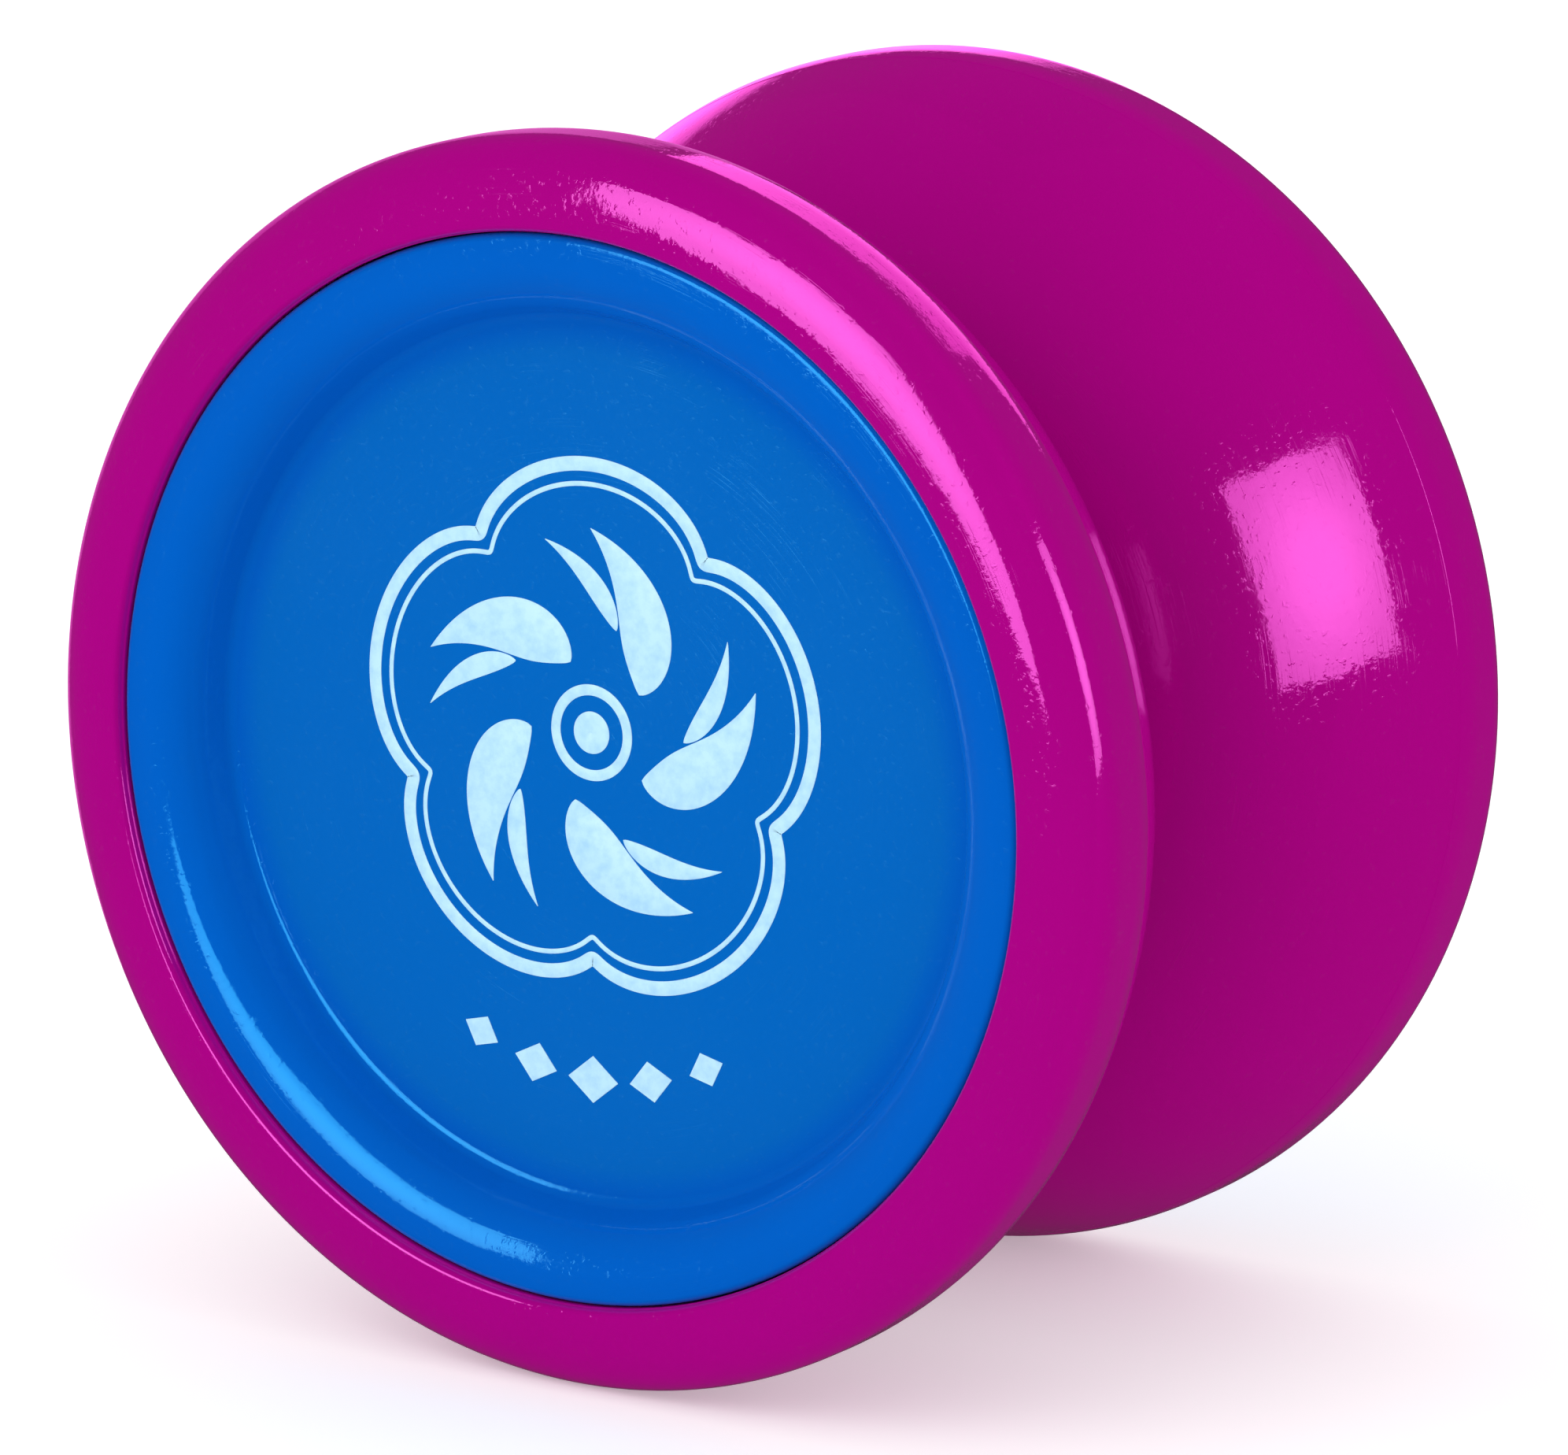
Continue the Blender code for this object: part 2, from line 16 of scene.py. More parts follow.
import bpy
import numpy as np
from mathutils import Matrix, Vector


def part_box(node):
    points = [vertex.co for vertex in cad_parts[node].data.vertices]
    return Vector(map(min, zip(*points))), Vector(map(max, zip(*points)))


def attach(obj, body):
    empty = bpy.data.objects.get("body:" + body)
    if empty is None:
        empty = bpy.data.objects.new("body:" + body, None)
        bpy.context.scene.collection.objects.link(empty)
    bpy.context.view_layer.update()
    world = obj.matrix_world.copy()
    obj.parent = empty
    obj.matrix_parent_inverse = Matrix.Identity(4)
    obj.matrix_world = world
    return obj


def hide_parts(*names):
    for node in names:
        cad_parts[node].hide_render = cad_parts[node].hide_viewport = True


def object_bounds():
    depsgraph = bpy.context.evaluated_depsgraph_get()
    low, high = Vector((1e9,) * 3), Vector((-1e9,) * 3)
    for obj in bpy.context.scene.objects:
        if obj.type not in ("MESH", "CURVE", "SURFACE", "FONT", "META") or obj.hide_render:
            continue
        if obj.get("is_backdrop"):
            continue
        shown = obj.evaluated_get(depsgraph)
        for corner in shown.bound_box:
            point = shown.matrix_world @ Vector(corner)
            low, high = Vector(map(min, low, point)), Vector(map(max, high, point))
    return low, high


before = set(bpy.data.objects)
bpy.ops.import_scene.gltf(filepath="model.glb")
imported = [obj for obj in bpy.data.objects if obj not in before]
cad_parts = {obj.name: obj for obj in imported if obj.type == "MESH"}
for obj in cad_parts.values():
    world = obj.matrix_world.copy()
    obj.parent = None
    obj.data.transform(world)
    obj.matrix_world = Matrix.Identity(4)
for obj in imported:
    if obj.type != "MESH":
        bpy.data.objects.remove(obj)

MM = 0.001
SHARP_EDGE = 32.0  # degrees, past which a turned piece shows an edge
TINY = 1e-9
MAP_RANGE_SOCKETS = ("From Min", "From Max", "To Min", "To Max")

Array = np.ndarray
Colour = tuple[float, float, float]
Socket = bpy.types.NodeSocket
Reach = Callable[[Array, Array, Array], Array]

NO_TRIANGLES: Array = np.zeros((0, 3), int)

PINK_GEL: Colour = (1.0, 0.16, 0.76)
HOT_START = 0.1  # where a lamp cloth starts to darken, in cloth widths from its middle
HOT_END = 0.6
FRONT_SHELL = ("front_shell_moulding",)
REAR_SHELL = ("rear_shell_moulding",)
BOTH_SHELLS = FRONT_SHELL + REAR_SHELL
FRONT_CAP = ("front_cap_moulding",)

log = logging.getLogger("yo_yo")


# ---------------------------------------------------------------- shapes


class Side(Enum):
    """One of the two halves: its name, the body it moves with and the way it faces."""

    FRONT = "front"
    REAR = "rear"

    @property
    def body(self) -> str:
        """The body that this half's own pieces ride on."""
        return f"{self.value}_half"

    @property
    def turn(self) -> Array:
        """Factors that carry a half's own frame into the world's."""
        return np.array([-1.0, -1.0, 1.0] if self is Side.FRONT else [1.0, 1.0, 1.0])


@dataclass(frozen=True)
class Surface:
    """The corners and faces of one or more closed surfaces."""

    points: Array
    quads: Array
    triangles: Array

    def outward(self) -> "Surface":
        """The same surface with its faces pointing out.

        The enclosed volume is a sixth of the sum of a . (b x c) over the triangles, and it is
        negative when the faces point in.

        Returns:
            The surface, with every face turned round where the volume was negative.
        """
        halves = [self.quads[:, [0, 1, 2]], self.quads[:, [0, 2, 3]], self.triangles]
        a, b, c = np.moveaxis(self.points[np.concatenate(halves)], 1, 0)
        if np.einsum("ij,ij->", a, np.cross(b, c)) >= 0:
            return self
        return Surface(self.points, self.quads[:, ::-1], self.triangles[:, ::-1])

    def facing(self, side: Side) -> "Surface":
        """The surface carried from a half's own frame into the world's."""
        return Surface(self.points * side.turn, self.quads, self.triangles)

    def piece(self, name: str) -> bpy.types.Object:
        """Makes a smooth-shaded object of the surface.

        Args:
            name: the object's name.

        Returns:
            The object, at the origin, with its place in its mesh.
        """
        surface = self.outward()
        mesh = bpy.data.meshes.new(name)
        faces = surface.quads.tolist() + surface.triangles.tolist()
        mesh.from_pydata(surface.points.tolist(), [], faces)
        mesh.update()
        mesh.shade_smooth()
        mesh.set_sharp_from_angle(angle=math.radians(SHARP_EDGE))
        obj = bpy.data.objects.new(name, mesh)
        bpy.context.scene.collection.objects.link(obj)
        return obj


def joined(surfaces: Sequence[Surface]) -> Surface:
    """Puts several surfaces into one, each with its faces pointing out.

    Args:
        surfaces: the separate surfaces.

    Returns:
        One surface that holds all of their corners and faces.
    """
    turned_out = [surface.outward() for surface in surfaces]
    firsts = np.cumsum([0] + [len(surface.points) for surface in turned_out[:-1]])
    return Surface(
        np.concatenate([surface.points for surface in turned_out]),
        np.concatenate([surface.quads + first for surface, first in zip(turned_out, firsts)]),
        np.concatenate([surface.triangles + first for surface, first in zip(turned_out, firsts)]),
    )


def arc(centre: Sequence[float], radii: Sequence[float], start: float, end: float, steps: int) -> Array:
    """Stations along an elliptical arc: centre + (a cos t, b sin t).

    Args:
        centre: radius and distance along the axle of the ellipse's centre.
        radii: the ellipse's half-widths, across the axle and along it.
        start: first value of t in degrees, from +radius towards +axle.
        end: last value of t in degrees.
        steps: how many pieces the arc is cut into.

    Returns:
        The stations, steps + 1 of them.
    """
    t = np.radians(np.linspace(start, end, steps + 1))
    return np.stack([centre[0] + radii[0] * np.cos(t), centre[1] + radii[1] * np.sin(t)], axis=1)


def stations(*stretches: Array | Sequence[Sequence[float]]) -> Array:
    """Joins stretches of an outline, giving each station its hexagon column.

    Args:
        stretches: arrays or lists of stations with two or three columns.

    Returns:
        One array of three columns.
    """
    rows = [np.asarray(stretch, float) for stretch in stretches]
    return np.concatenate([np.pad(row, ((0, 0), (0, 3 - row.shape[1]))) for row in rows])


def softened(outline: Array, radius: float, sharp: float = 25.0, steps: int = 4) -> Array:
    """Rounds the sharp corners of an outline.

    A corner C becomes the parabola (1 - s)^2 A + 2 (1 - s) s C + s^2 B, in which A and B lie one
    radius before and after C, or 0.45 of the way to the neighbour where that is nearer. Corners on
    the axis and gentle ones stay as they are.

    Args:
        outline: stations of three columns, all the way round or from pole to pole.
        radius: distance that the rounding reaches along each side of a corner.
        sharp: turning in degrees past which a corner is rounded.
        steps: how many pieces the rounding is cut into.

    Returns:
        The rounded outline.
    """
    nearest = 0.45
    back = np.roll(outline, 1, axis=0) - outline
    ahead = np.roll(outline, -1, axis=0) - outline
    back_length = np.maximum(np.hypot(back[:, 0], back[:, 1]), TINY)
    ahead_length = np.maximum(np.hypot(ahead[:, 0], ahead[:, 1]), TINY)
    start = outline + back * (np.minimum(radius, nearest * back_length) / back_length)[:, None]
    end = outline + ahead * (np.minimum(radius, nearest * ahead_length) / ahead_length)[:, None]
    along = (-back * ahead)[:, :2].sum(axis=1) / (back_length * ahead_length)
    gentle = (np.degrees(np.arccos(np.clip(along, -1, 1))) < sharp) | (outline[:, 0] < TINY)
    start[gentle] = outline[gentle]
    s = np.linspace(0, 1, steps + 1)[None, :, None]
    curve = (1 - s) ** 2 * start[:, None] + 2 * (1 - s) * s * outline[:, None] + s**2 * end[:, None]
    keep = np.ones(curve.shape[:2], bool)
    keep[gentle, 1:] = False
    return curve[keep]


def woven(rows: int, columns: int, rows_meet: bool, columns_meet: bool) -> Array:
    """Four-cornered faces between the neighbours of a grid of points.

    Args:
        rows: number of rows.
        columns: number of columns.
        rows_meet: whether the last row joins the first.
        columns_meet: whether the last column joins the first.

    Returns:
        Corner numbers, four for each face.
    """
    row = np.arange(rows if rows_meet else rows - 1)[:, None]
    column = np.arange(columns if columns_meet else columns - 1)[None, :]
    next_row = (row + 1) % rows
    next_column = (column + 1) % columns
    corners = [row * columns + column, row * columns + next_column]
    corners += [next_row * columns + next_column, next_row * columns + column]
    return np.stack(np.broadcast_arrays(*corners), axis=-1).reshape(-1, 4)


def between_poles(grid: Array) -> Surface:
    """Closes a grid whose first and last rows each shrink to one point.

    Args:
        grid: points, rows by columns by three, with columns that meet.

    Returns:
        The closed surface, with one corner at each pole.
    """
    rows, columns = grid.shape[:2]
    middle = grid[1:-1].reshape(-1, 3)
    points = np.concatenate([middle, grid[:1, 0], grid[-1:, 0]])
    column = np.arange(columns)
    following = (column + 1) % columns
    last_row = (rows - 3) * columns
    first_pole = np.full(columns, len(middle))
    fans = [np.stack([first_pole, following, column], axis=1)]
    fans += [np.stack([first_pole + 1, last_row + column, last_row + following], axis=1)]
    return Surface(points, woven(rows - 2, columns, False, True)[:, ::-1], np.concatenate(fans)[:, ::-1])


def hexagon_reach(turn: Array) -> Array:
    """How far a hexagon's edge lies from its middle, its flats at distance 1 facing up and down.

    Args:
        turn: angles in radians, from +X towards +Z.

    Returns:
        1 / cos of the angle to the nearest flat's middle.
    """
    return 1 / np.cos(math.pi / 6 - turn % (math.pi / 3))


def turned(outline: Array, steps: int, reach: Reach | None = None) -> Surface:
    """Carries an outline round the axle.

    The point of station (r, y) at angle t is (r cos t, y, r sin t), with r first pulled towards the
    hexagon by the third column and then passed through reach.

    Args:
        outline: stations of three columns.
        steps: how many places the circle is cut into.
        reach: gives the final radii from the radii, the distances along the axle and the angles.

    Returns:
        The closed surface.
    """
    turn = math.tau * np.arange(steps)[None, :] / steps
    radius = outline[:, :1] * (1 + outline[:, 2:] * (hexagon_reach(turn) - 1))
    along = np.broadcast_to(outline[:, 1:2], radius.shape)
    if reach is not None:
        radius = reach(radius, along, turn)
    grid = np.stack([radius * np.cos(turn), along, radius * np.sin(turn)], axis=-1)
    if outline[0, 0] == 0 and outline[-1, 0] == 0:
        return between_poles(grid)
    return Surface(grid.reshape(-1, 3), woven(*grid.shape[:2], True, True), NO_TRIANGLES)


# ---------------------------------------------------------------- finishes


class Recipe:
    """A material being mixed: its nodes, and short ways to add and join them."""

    def __init__(self, name: str) -> None:
        """Starts an empty recipe.

        Args:
            name: the material's name.
        """
        self.material = bpy.data.materials.new(name)
        self.material.use_nodes = True
        self.nodes = self.material.node_tree.nodes
        self.links = self.material.node_tree.links
        self.shader = self.nodes["Principled BSDF"]
        self.spot = self.nodes.new("ShaderNodeTexCoord").outputs["Object"]

    def settle(self, **values: float | Colour) -> None:
        """Sets the shader's own sockets, named with underscores for their spaces."""
        for name, value in values.items():
            socket = self.shader.inputs[name.replace("_", " ")]
            socket.default_value = (*value, 1.0) if isinstance(value, tuple) else value

    def feed(self, name: str, source: Socket) -> None:
        """Joins a node's output to one of the shader's sockets."""
        self.links.new(source, self.shader.inputs[name])

    def sum(self, operation: str, *terms: Socket | float) -> Socket:
        """One step of arithmetic.

        Args:
            operation: the Math node's operation.
            terms: outputs of other nodes, or plain numbers.

        Returns:
            The result.
        """
        node = self.nodes.new("ShaderNodeMath")
        node.operation = operation
        for socket, term in zip(node.inputs, terms):
            if isinstance(term, bpy.types.NodeSocket):
                self.links.new(term, socket)
            else:
                socket.default_value = term
        return node.outputs[0]

    def from_axle(self) -> Socket:
        """Distance from the axle, sqrt(x^2 + z^2)."""
        parts = self.nodes.new("ShaderNodeSeparateXYZ")
        self.links.new(self.spot, parts.inputs[0])
        x, _, z = parts.outputs
        return self.sum("SQRT", self.sum("ADD", self.sum("MULTIPLY", x, x), self.sum("MULTIPLY", z, z)))

    def around(self, ring: float, across: float) -> Socket:
        """A place for marks that run round the axle.

        The place is (ring x / r, across (r + y), ring z / r) with r the distance from the axle, so
        it changes slowly round the axle and quickly along a section.

        Args:
            ring: how often the marks change round the axle.
            across: how often they change along a section, for each metre.

        Returns:
            The place, for a noise.
        """
        parts = self.nodes.new("ShaderNodeSeparateXYZ")
        self.links.new(self.spot, parts.inputs[0])
        x, y, z = parts.outputs
        radius = self.from_axle()
        whole = self.nodes.new("ShaderNodeCombineXYZ")
        self.links.new(self.sum("MULTIPLY", self.sum("DIVIDE", x, radius), ring), whole.inputs[0])
        self.links.new(self.sum("MULTIPLY", self.sum("ADD", radius, y), across), whole.inputs[1])
        self.links.new(self.sum("MULTIPLY", self.sum("DIVIDE", z, radius), ring), whole.inputs[2])
        return whole.outputs[0]

    def noise(self, where: Socket, scale: float, detail: float = 2.0, roughness: float = 0.5) -> Socket:
        """Cloudy noise from 0 to 1.

        Args:
            where: the place that is looked up.
            scale: clouds for each unit of that place.
            detail: how many finer layers lie on the clouds.
            roughness: how strong the finer layers are.

        Returns:
            The noise.
        """
        node = self.nodes.new("ShaderNodeTexNoise")
        self.links.new(where, node.inputs["Vector"])
        node.inputs["Scale"].default_value = scale
        node.inputs["Detail"].default_value = detail
        node.inputs["Roughness"].default_value = roughness
        return node.outputs["Fac"]

    def band(
        self, source: Socket, low: float, high: float, out_low: float = 0.0, out_high: float = 1.0
    ) -> Socket:
        """Stretches the part of a value between low and high, and cuts off the rest.

        Args:
            source: the value.
            low: the value that gives out_low.
            high: the value that gives out_high.
            out_low: the result at and below low.
            out_high: the result at and above high.

        Returns:
            The stretched value.
        """
        node = self.nodes.new("ShaderNodeMapRange")
        self.links.new(source, node.inputs["Value"])
        for name, value in zip(MAP_RANGE_SOCKETS, (low, high, out_low, out_high)):
            node.inputs[name].default_value = value
        return node.outputs[0]

    def blend(self, share: Socket, first: Colour | Socket, second: Colour) -> Socket:
        """Mixes two colours.

        Args:
            share: how much of the second colour there is.
            first: a colour, or another mixture.
            second: a colour.

        Returns:
            The mixture.
        """
        node = self.nodes.new("ShaderNodeMix")
        node.data_type = "RGBA"
        self.links.new(share, node.inputs["Factor"])
        if isinstance(first, bpy.types.NodeSocket):
            self.links.new(first, node.inputs["A"])
        else:
            node.inputs["A"].default_value = (*first, 1.0)
        node.inputs["B"].default_value = (*second, 1.0)
        return node.outputs["Result"]

    def relief(self, height: Socket, depth: float, under: Socket | None = None) -> Socket:
        """Turns a height into a bent normal.

        Args:
            height: the height, from 0 to 1.
            depth: what a height of 1 stands for, in metres.
            under: a normal that is already bent, if there is one.

        Returns:
            The bent normal.
        """
        node = self.nodes.new("ShaderNodeBump")
        node.inputs["Strength"].default_value = 1.0
        node.inputs["Distance"].default_value = depth
        self.links.new(height, node.inputs["Height"])
        if under is not None:
            self.links.new(under, node.inputs["Normal"])
        return node.outputs["Normal"]


@dataclass(frozen=True)
class GlossPlastic:
    """Polished moulded plastic that has been handled: clouded gloss, fine scratches and specks."""

    name: str
    colour: Colour
    deep_colour: Colour
    shine: Colour
    roughness: float = 0.05
    shine_level: float = 0.9
    ripple: float = 0.013 * MM
    scratch: float = 0.003 * MM
    speck: float = 0.003 * MM
    # painted light: a greener blue for the flat face, standing for how light falls on it
    painted_face_light: Colour | None = None
    face_radius: float = 0.0
    face_roughness: float = 0.07
    face_spread: float = 0.03  # unevenness of the face's roughness, either way
    face_edge: float = 1.2 * MM  # width over which the face's finish starts
    haze_below: float = 0.02  # how far the clouds take the roughness down
    haze_above: float = 0.04  # and up
    mark_roughness: float = 0.10  # added in a scratch or a speck
    cloud_scale: float = 90.0
    hairline_scale: float = 9000.0
    worn_scale: float = 260.0
    speck_scale: float = 3600.0
    satin_scale: float = 5200.0
    ripple_scale: float = 620.0

    def mix(self) -> bpy.types.Material:
        """Mixes the plastic.

        Where there is a painted face light, the flat face inside the face radius is satin and of that
        colour, a greener blue painted to stand for how light falls on the flat face, and everything
        outside it is polished.

        Returns:
            The material.
        """
        recipe = Recipe(self.name)
        recipe.settle(IOR=1.5, Specular_Tint=self.shine, Specular_IOR_Level=self.shine_level)
        clouds = recipe.noise(recipe.spot, self.cloud_scale, 3.0)
        colour = recipe.blend(recipe.band(clouds, 0.3, 0.7), self.colour, self.deep_colour)

        hairlines = recipe.noise(recipe.around(3.0, self.hairline_scale), 1.0, 2.0, 0.6)
        worn = recipe.band(recipe.noise(recipe.spot, self.worn_scale, 2.0), 0.45, 0.65)
        marks = recipe.sum("MULTIPLY", recipe.band(hairlines, 0.55, 0.75), worn)
        specks = recipe.band(recipe.noise(recipe.spot, self.speck_scale, 2.0), 0.60, 0.72)
        smooth, hazy = self.roughness - self.haze_below, self.roughness + self.haze_above
        haze = recipe.band(clouds, 0.35, 0.75, smooth, hazy)
        rough = recipe.sum("ADD", haze, recipe.sum("MULTIPLY", marks, self.mark_roughness))
        rough = recipe.sum("ADD", rough, recipe.sum("MULTIPLY", specks, self.mark_roughness))
        if self.painted_face_light is not None:
            # painted light: the flat face takes a greener blue that stands for how light falls on it; the
            # roughness added below is its satin finish
            edge = self.face_radius
            inside = recipe.band(recipe.from_axle(), edge, edge - self.face_edge)
            colour = recipe.blend(inside, colour, self.painted_face_light)
            satin = recipe.noise(recipe.spot, self.satin_scale, 2.0)
            least, most = self.face_roughness - self.face_spread, self.face_roughness + self.face_spread
            extra = recipe.band(satin, 0.2, 0.8, least, most)
            rough = recipe.sum("ADD", rough, recipe.sum("MULTIPLY", inside, extra))
        recipe.feed("Base Color", colour)
        recipe.feed("Roughness", rough)

        moulded = recipe.relief(recipe.noise(recipe.spot, self.ripple_scale, 4.0, 0.6), self.ripple)
        scratched = recipe.relief(marks, self.scratch, moulded)
        recipe.feed("Normal", recipe.relief(specks, self.speck, scratched))
        return recipe.material


@dataclass(frozen=True)
class PrintedInk:
    """Pad-printed ink: pale, a little mottled, and thin in small spots."""

    name: str = "pale_print"
    colour: Colour = (0.50, 0.82, 1.0)
    thin_colour: Colour = (0.38, 0.70, 0.97)
    mottle_scale: float = 1400.0
    grain: float = 0.008 * MM

    def mix(self) -> bpy.types.Material:
        """Mixes the ink.

        Returns:
            The material.
        """
        recipe = Recipe(self.name)
        recipe.settle(Roughness=0.45, IOR=1.45)
        mottle = recipe.noise(recipe.spot, self.mottle_scale, 3.0, 0.65)
        thin = recipe.band(mottle, 0.4, 0.72)
        recipe.feed("Base Color", recipe.blend(thin, self.colour, self.thin_colour))
        recipe.feed("Normal", recipe.relief(mottle, self.grain))
        return recipe.material


class Lay(Enum):
    """The way that the marks of making run on a metal."""

    TURNED = "turned"
    GROUND = "ground"
    PLATED = "plated"
    POLISHED = "polished"


@dataclass(frozen=True)
class Metal:
    """A bare or plated metal with the marks of how it was made."""

    name: str
    colour: Colour
    dull_colour: Colour
    roughness: float
    lay: Lay
    tarnish_scale: float = 700.0
    tarnish_roughness: float = 0.06
    smoothest: float = 0.75  # shares of the roughness between which the marks run
    roughest: float = 1.3

    def mix(self) -> bpy.types.Material:
        """Mixes the metal.

        Returns:
            The material.
        """
        recipe = Recipe(self.name)
        recipe.settle(Metallic=1.0)
        ring, across, depth = {
            Lay.TURNED: (0.0, 16000.0, 0.006),
            Lay.GROUND: (2.0, 30000.0, 0.002),
            Lay.PLATED: (600.0, 3000.0, 0.005),
            Lay.POLISHED: (300.0, 2000.0, 0.001),
        }[self.lay]
        lines = recipe.noise(recipe.around(ring, across), 1.0, 3.0, 0.6)
        tarnish = recipe.band(recipe.noise(recipe.spot, self.tarnish_scale, 3.0), 0.4, 0.75)
        recipe.feed("Base Color", recipe.blend(tarnish, self.colour, self.dull_colour))
        least, most = self.roughness * self.smoothest, self.roughness * self.roughest
        spread = recipe.band(lines, 0.3, 0.7, least, most)
        dulled = recipe.sum("MULTIPLY", tarnish, self.tarnish_roughness)
        recipe.feed("Roughness", recipe.sum("ADD", spread, dulled))
        recipe.feed("Normal", recipe.relief(lines, depth * MM))
        return recipe.material


@dataclass(frozen=True)
class FrictionRubber:
    """Matt silicone with a fine grain, greyed where the string rubs it."""

    name: str = "friction_rubber"
    colour: Colour = (0.72, 0.71, 0.67)
    rubbed_colour: Colour = (0.50, 0.49, 0.47)
    grain_scale: float = 5200.0
    rub_scale: float = 2600.0
    grain: float = 0.012 * MM

    def mix(self) -> bpy.types.Material:
        """Mixes the rubber.

        Returns:
            The material.
        """
        recipe = Recipe(self.name)
        recipe.settle(Roughness=0.82, Sheen_Weight=0.15)
        grain = recipe.noise(recipe.spot, self.grain_scale, 3.0, 0.7)
        rubbed = recipe.band(recipe.noise(recipe.around(4.0, self.rub_scale), 1.0, 2.0), 0.45, 0.7)
        recipe.feed("Base Color", recipe.blend(rubbed, self.colour, self.rubbed_colour))
        recipe.feed("Normal", recipe.relief(grain, self.grain))
        return recipe.material


@dataclass(frozen=True)
class StudioPaint:
    """Plain pale paint of the studio floor, faintly uneven."""

    name: str = "studio_floor"
    colour: Colour = (0.90, 0.90, 0.90)
    uneven_colour: Colour = (0.89, 0.89, 0.89)
    glow: float = 0.33
    patch_scale: float = 3.0

    def mix(self) -> bpy.types.Material:
        """Mixes the paint.

        Returns:
            The material.
        """
        recipe = Recipe(self.name)
        recipe.settle(Roughness=0.9, Specular_IOR_Level=0.0)
        recipe.settle(Emission_Color=(1.0, 1.0, 1.0), Emission_Strength=self.glow)
        patches = recipe.noise(recipe.spot, self.patch_scale, 2.0)
        recipe.feed("Base Color", recipe.blend(patches, self.colour, self.uneven_colour))
        return recipe.material


class Finishes:
    """Every finish on the toy, mixed once."""

    def __init__(self) -> None:
        """Mixes the finishes."""
        magenta = GlossPlastic(
            name="magenta_plastic",
            colour=(0.40, 0.0004, 0.225),
            deep_colour=(0.385, 0.0003, 0.215),
            shine=(1.0, 0.17, 0.84),
        )
        blue = GlossPlastic(
            name="blue_plastic",
            colour=(0.0004, 0.115, 0.56),
            deep_colour=(0.0003, 0.108, 0.54),
            shine=(0.06, 0.62, 1.0),
            # painted light: the face's greener blue stands for how light falls on the flat face
            painted_face_light=(0.0003, 0.126, 0.515),
            face_radius=19.8 * MM,
            roughness=0.085,
            shine_level=0.6,
        )
        self.shell = magenta.mix()
        self.cap = blue.mix()
        self.ink = PrintedInk().mix()
        zinc = Metal("zinc_plate", (0.60, 0.60, 0.62), (0.50, 0.50, 0.50), 0.30, Lay.PLATED)
        alloy = Metal("turned_aluminium", (0.80, 0.80, 0.82), (0.70, 0.70, 0.71), 0.28, Lay.TURNED)
        ground = Metal("ground_steel", (0.66, 0.66, 0.68), (0.58, 0.57, 0.57), 0.20, Lay.GROUND)
        polished = Metal("polished_steel", (0.76, 0.76, 0.78), (0.72, 0.72, 0.74), 0.08, Lay.POLISHED)
        brass = Metal("cage_brass", (0.72, 0.52, 0.22), (0.60, 0.41, 0.18), 0.34, Lay.TURNED)
        self.plated = zinc.mix()
        self.aluminium = alloy.mix()
        self.ground = ground.mix()
        self.polished = polished.mix()
        self.brass = brass.mix()
        self.rubber = FrictionRubber().mix()
        self.paint = StudioPaint().mix()


def fit(obj: bpy.types.Object, finish: bpy.types.Material, body: str, slot: str, *nodes: str) -> None:
    """Dresses a piece, hangs it on its body and takes out the solids that it stands for.

    Args:
        obj: the piece.
        finish: its material.
        body: the body that it moves with.
        slot: the record's material slot; not used.
        nodes: names of the solids that it replaces.
    """
    obj.data.materials.append(finish)
    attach(obj, body)
    if nodes:
        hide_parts(*nodes)
    log.info("%s: %d faces, on %s", obj.name, len(obj.data.polygons), body)


def reach_of(node: str) -> float:
    """The radius of a round solid about the axle, from its box."""
    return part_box(node)[1].x


def ends_of(node: str) -> tuple[float, float]:
    """Where a solid starts and ends along the axle."""
    low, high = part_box(node)
    return low.y, high.y


# ---------------------------------------------------------------- the halves


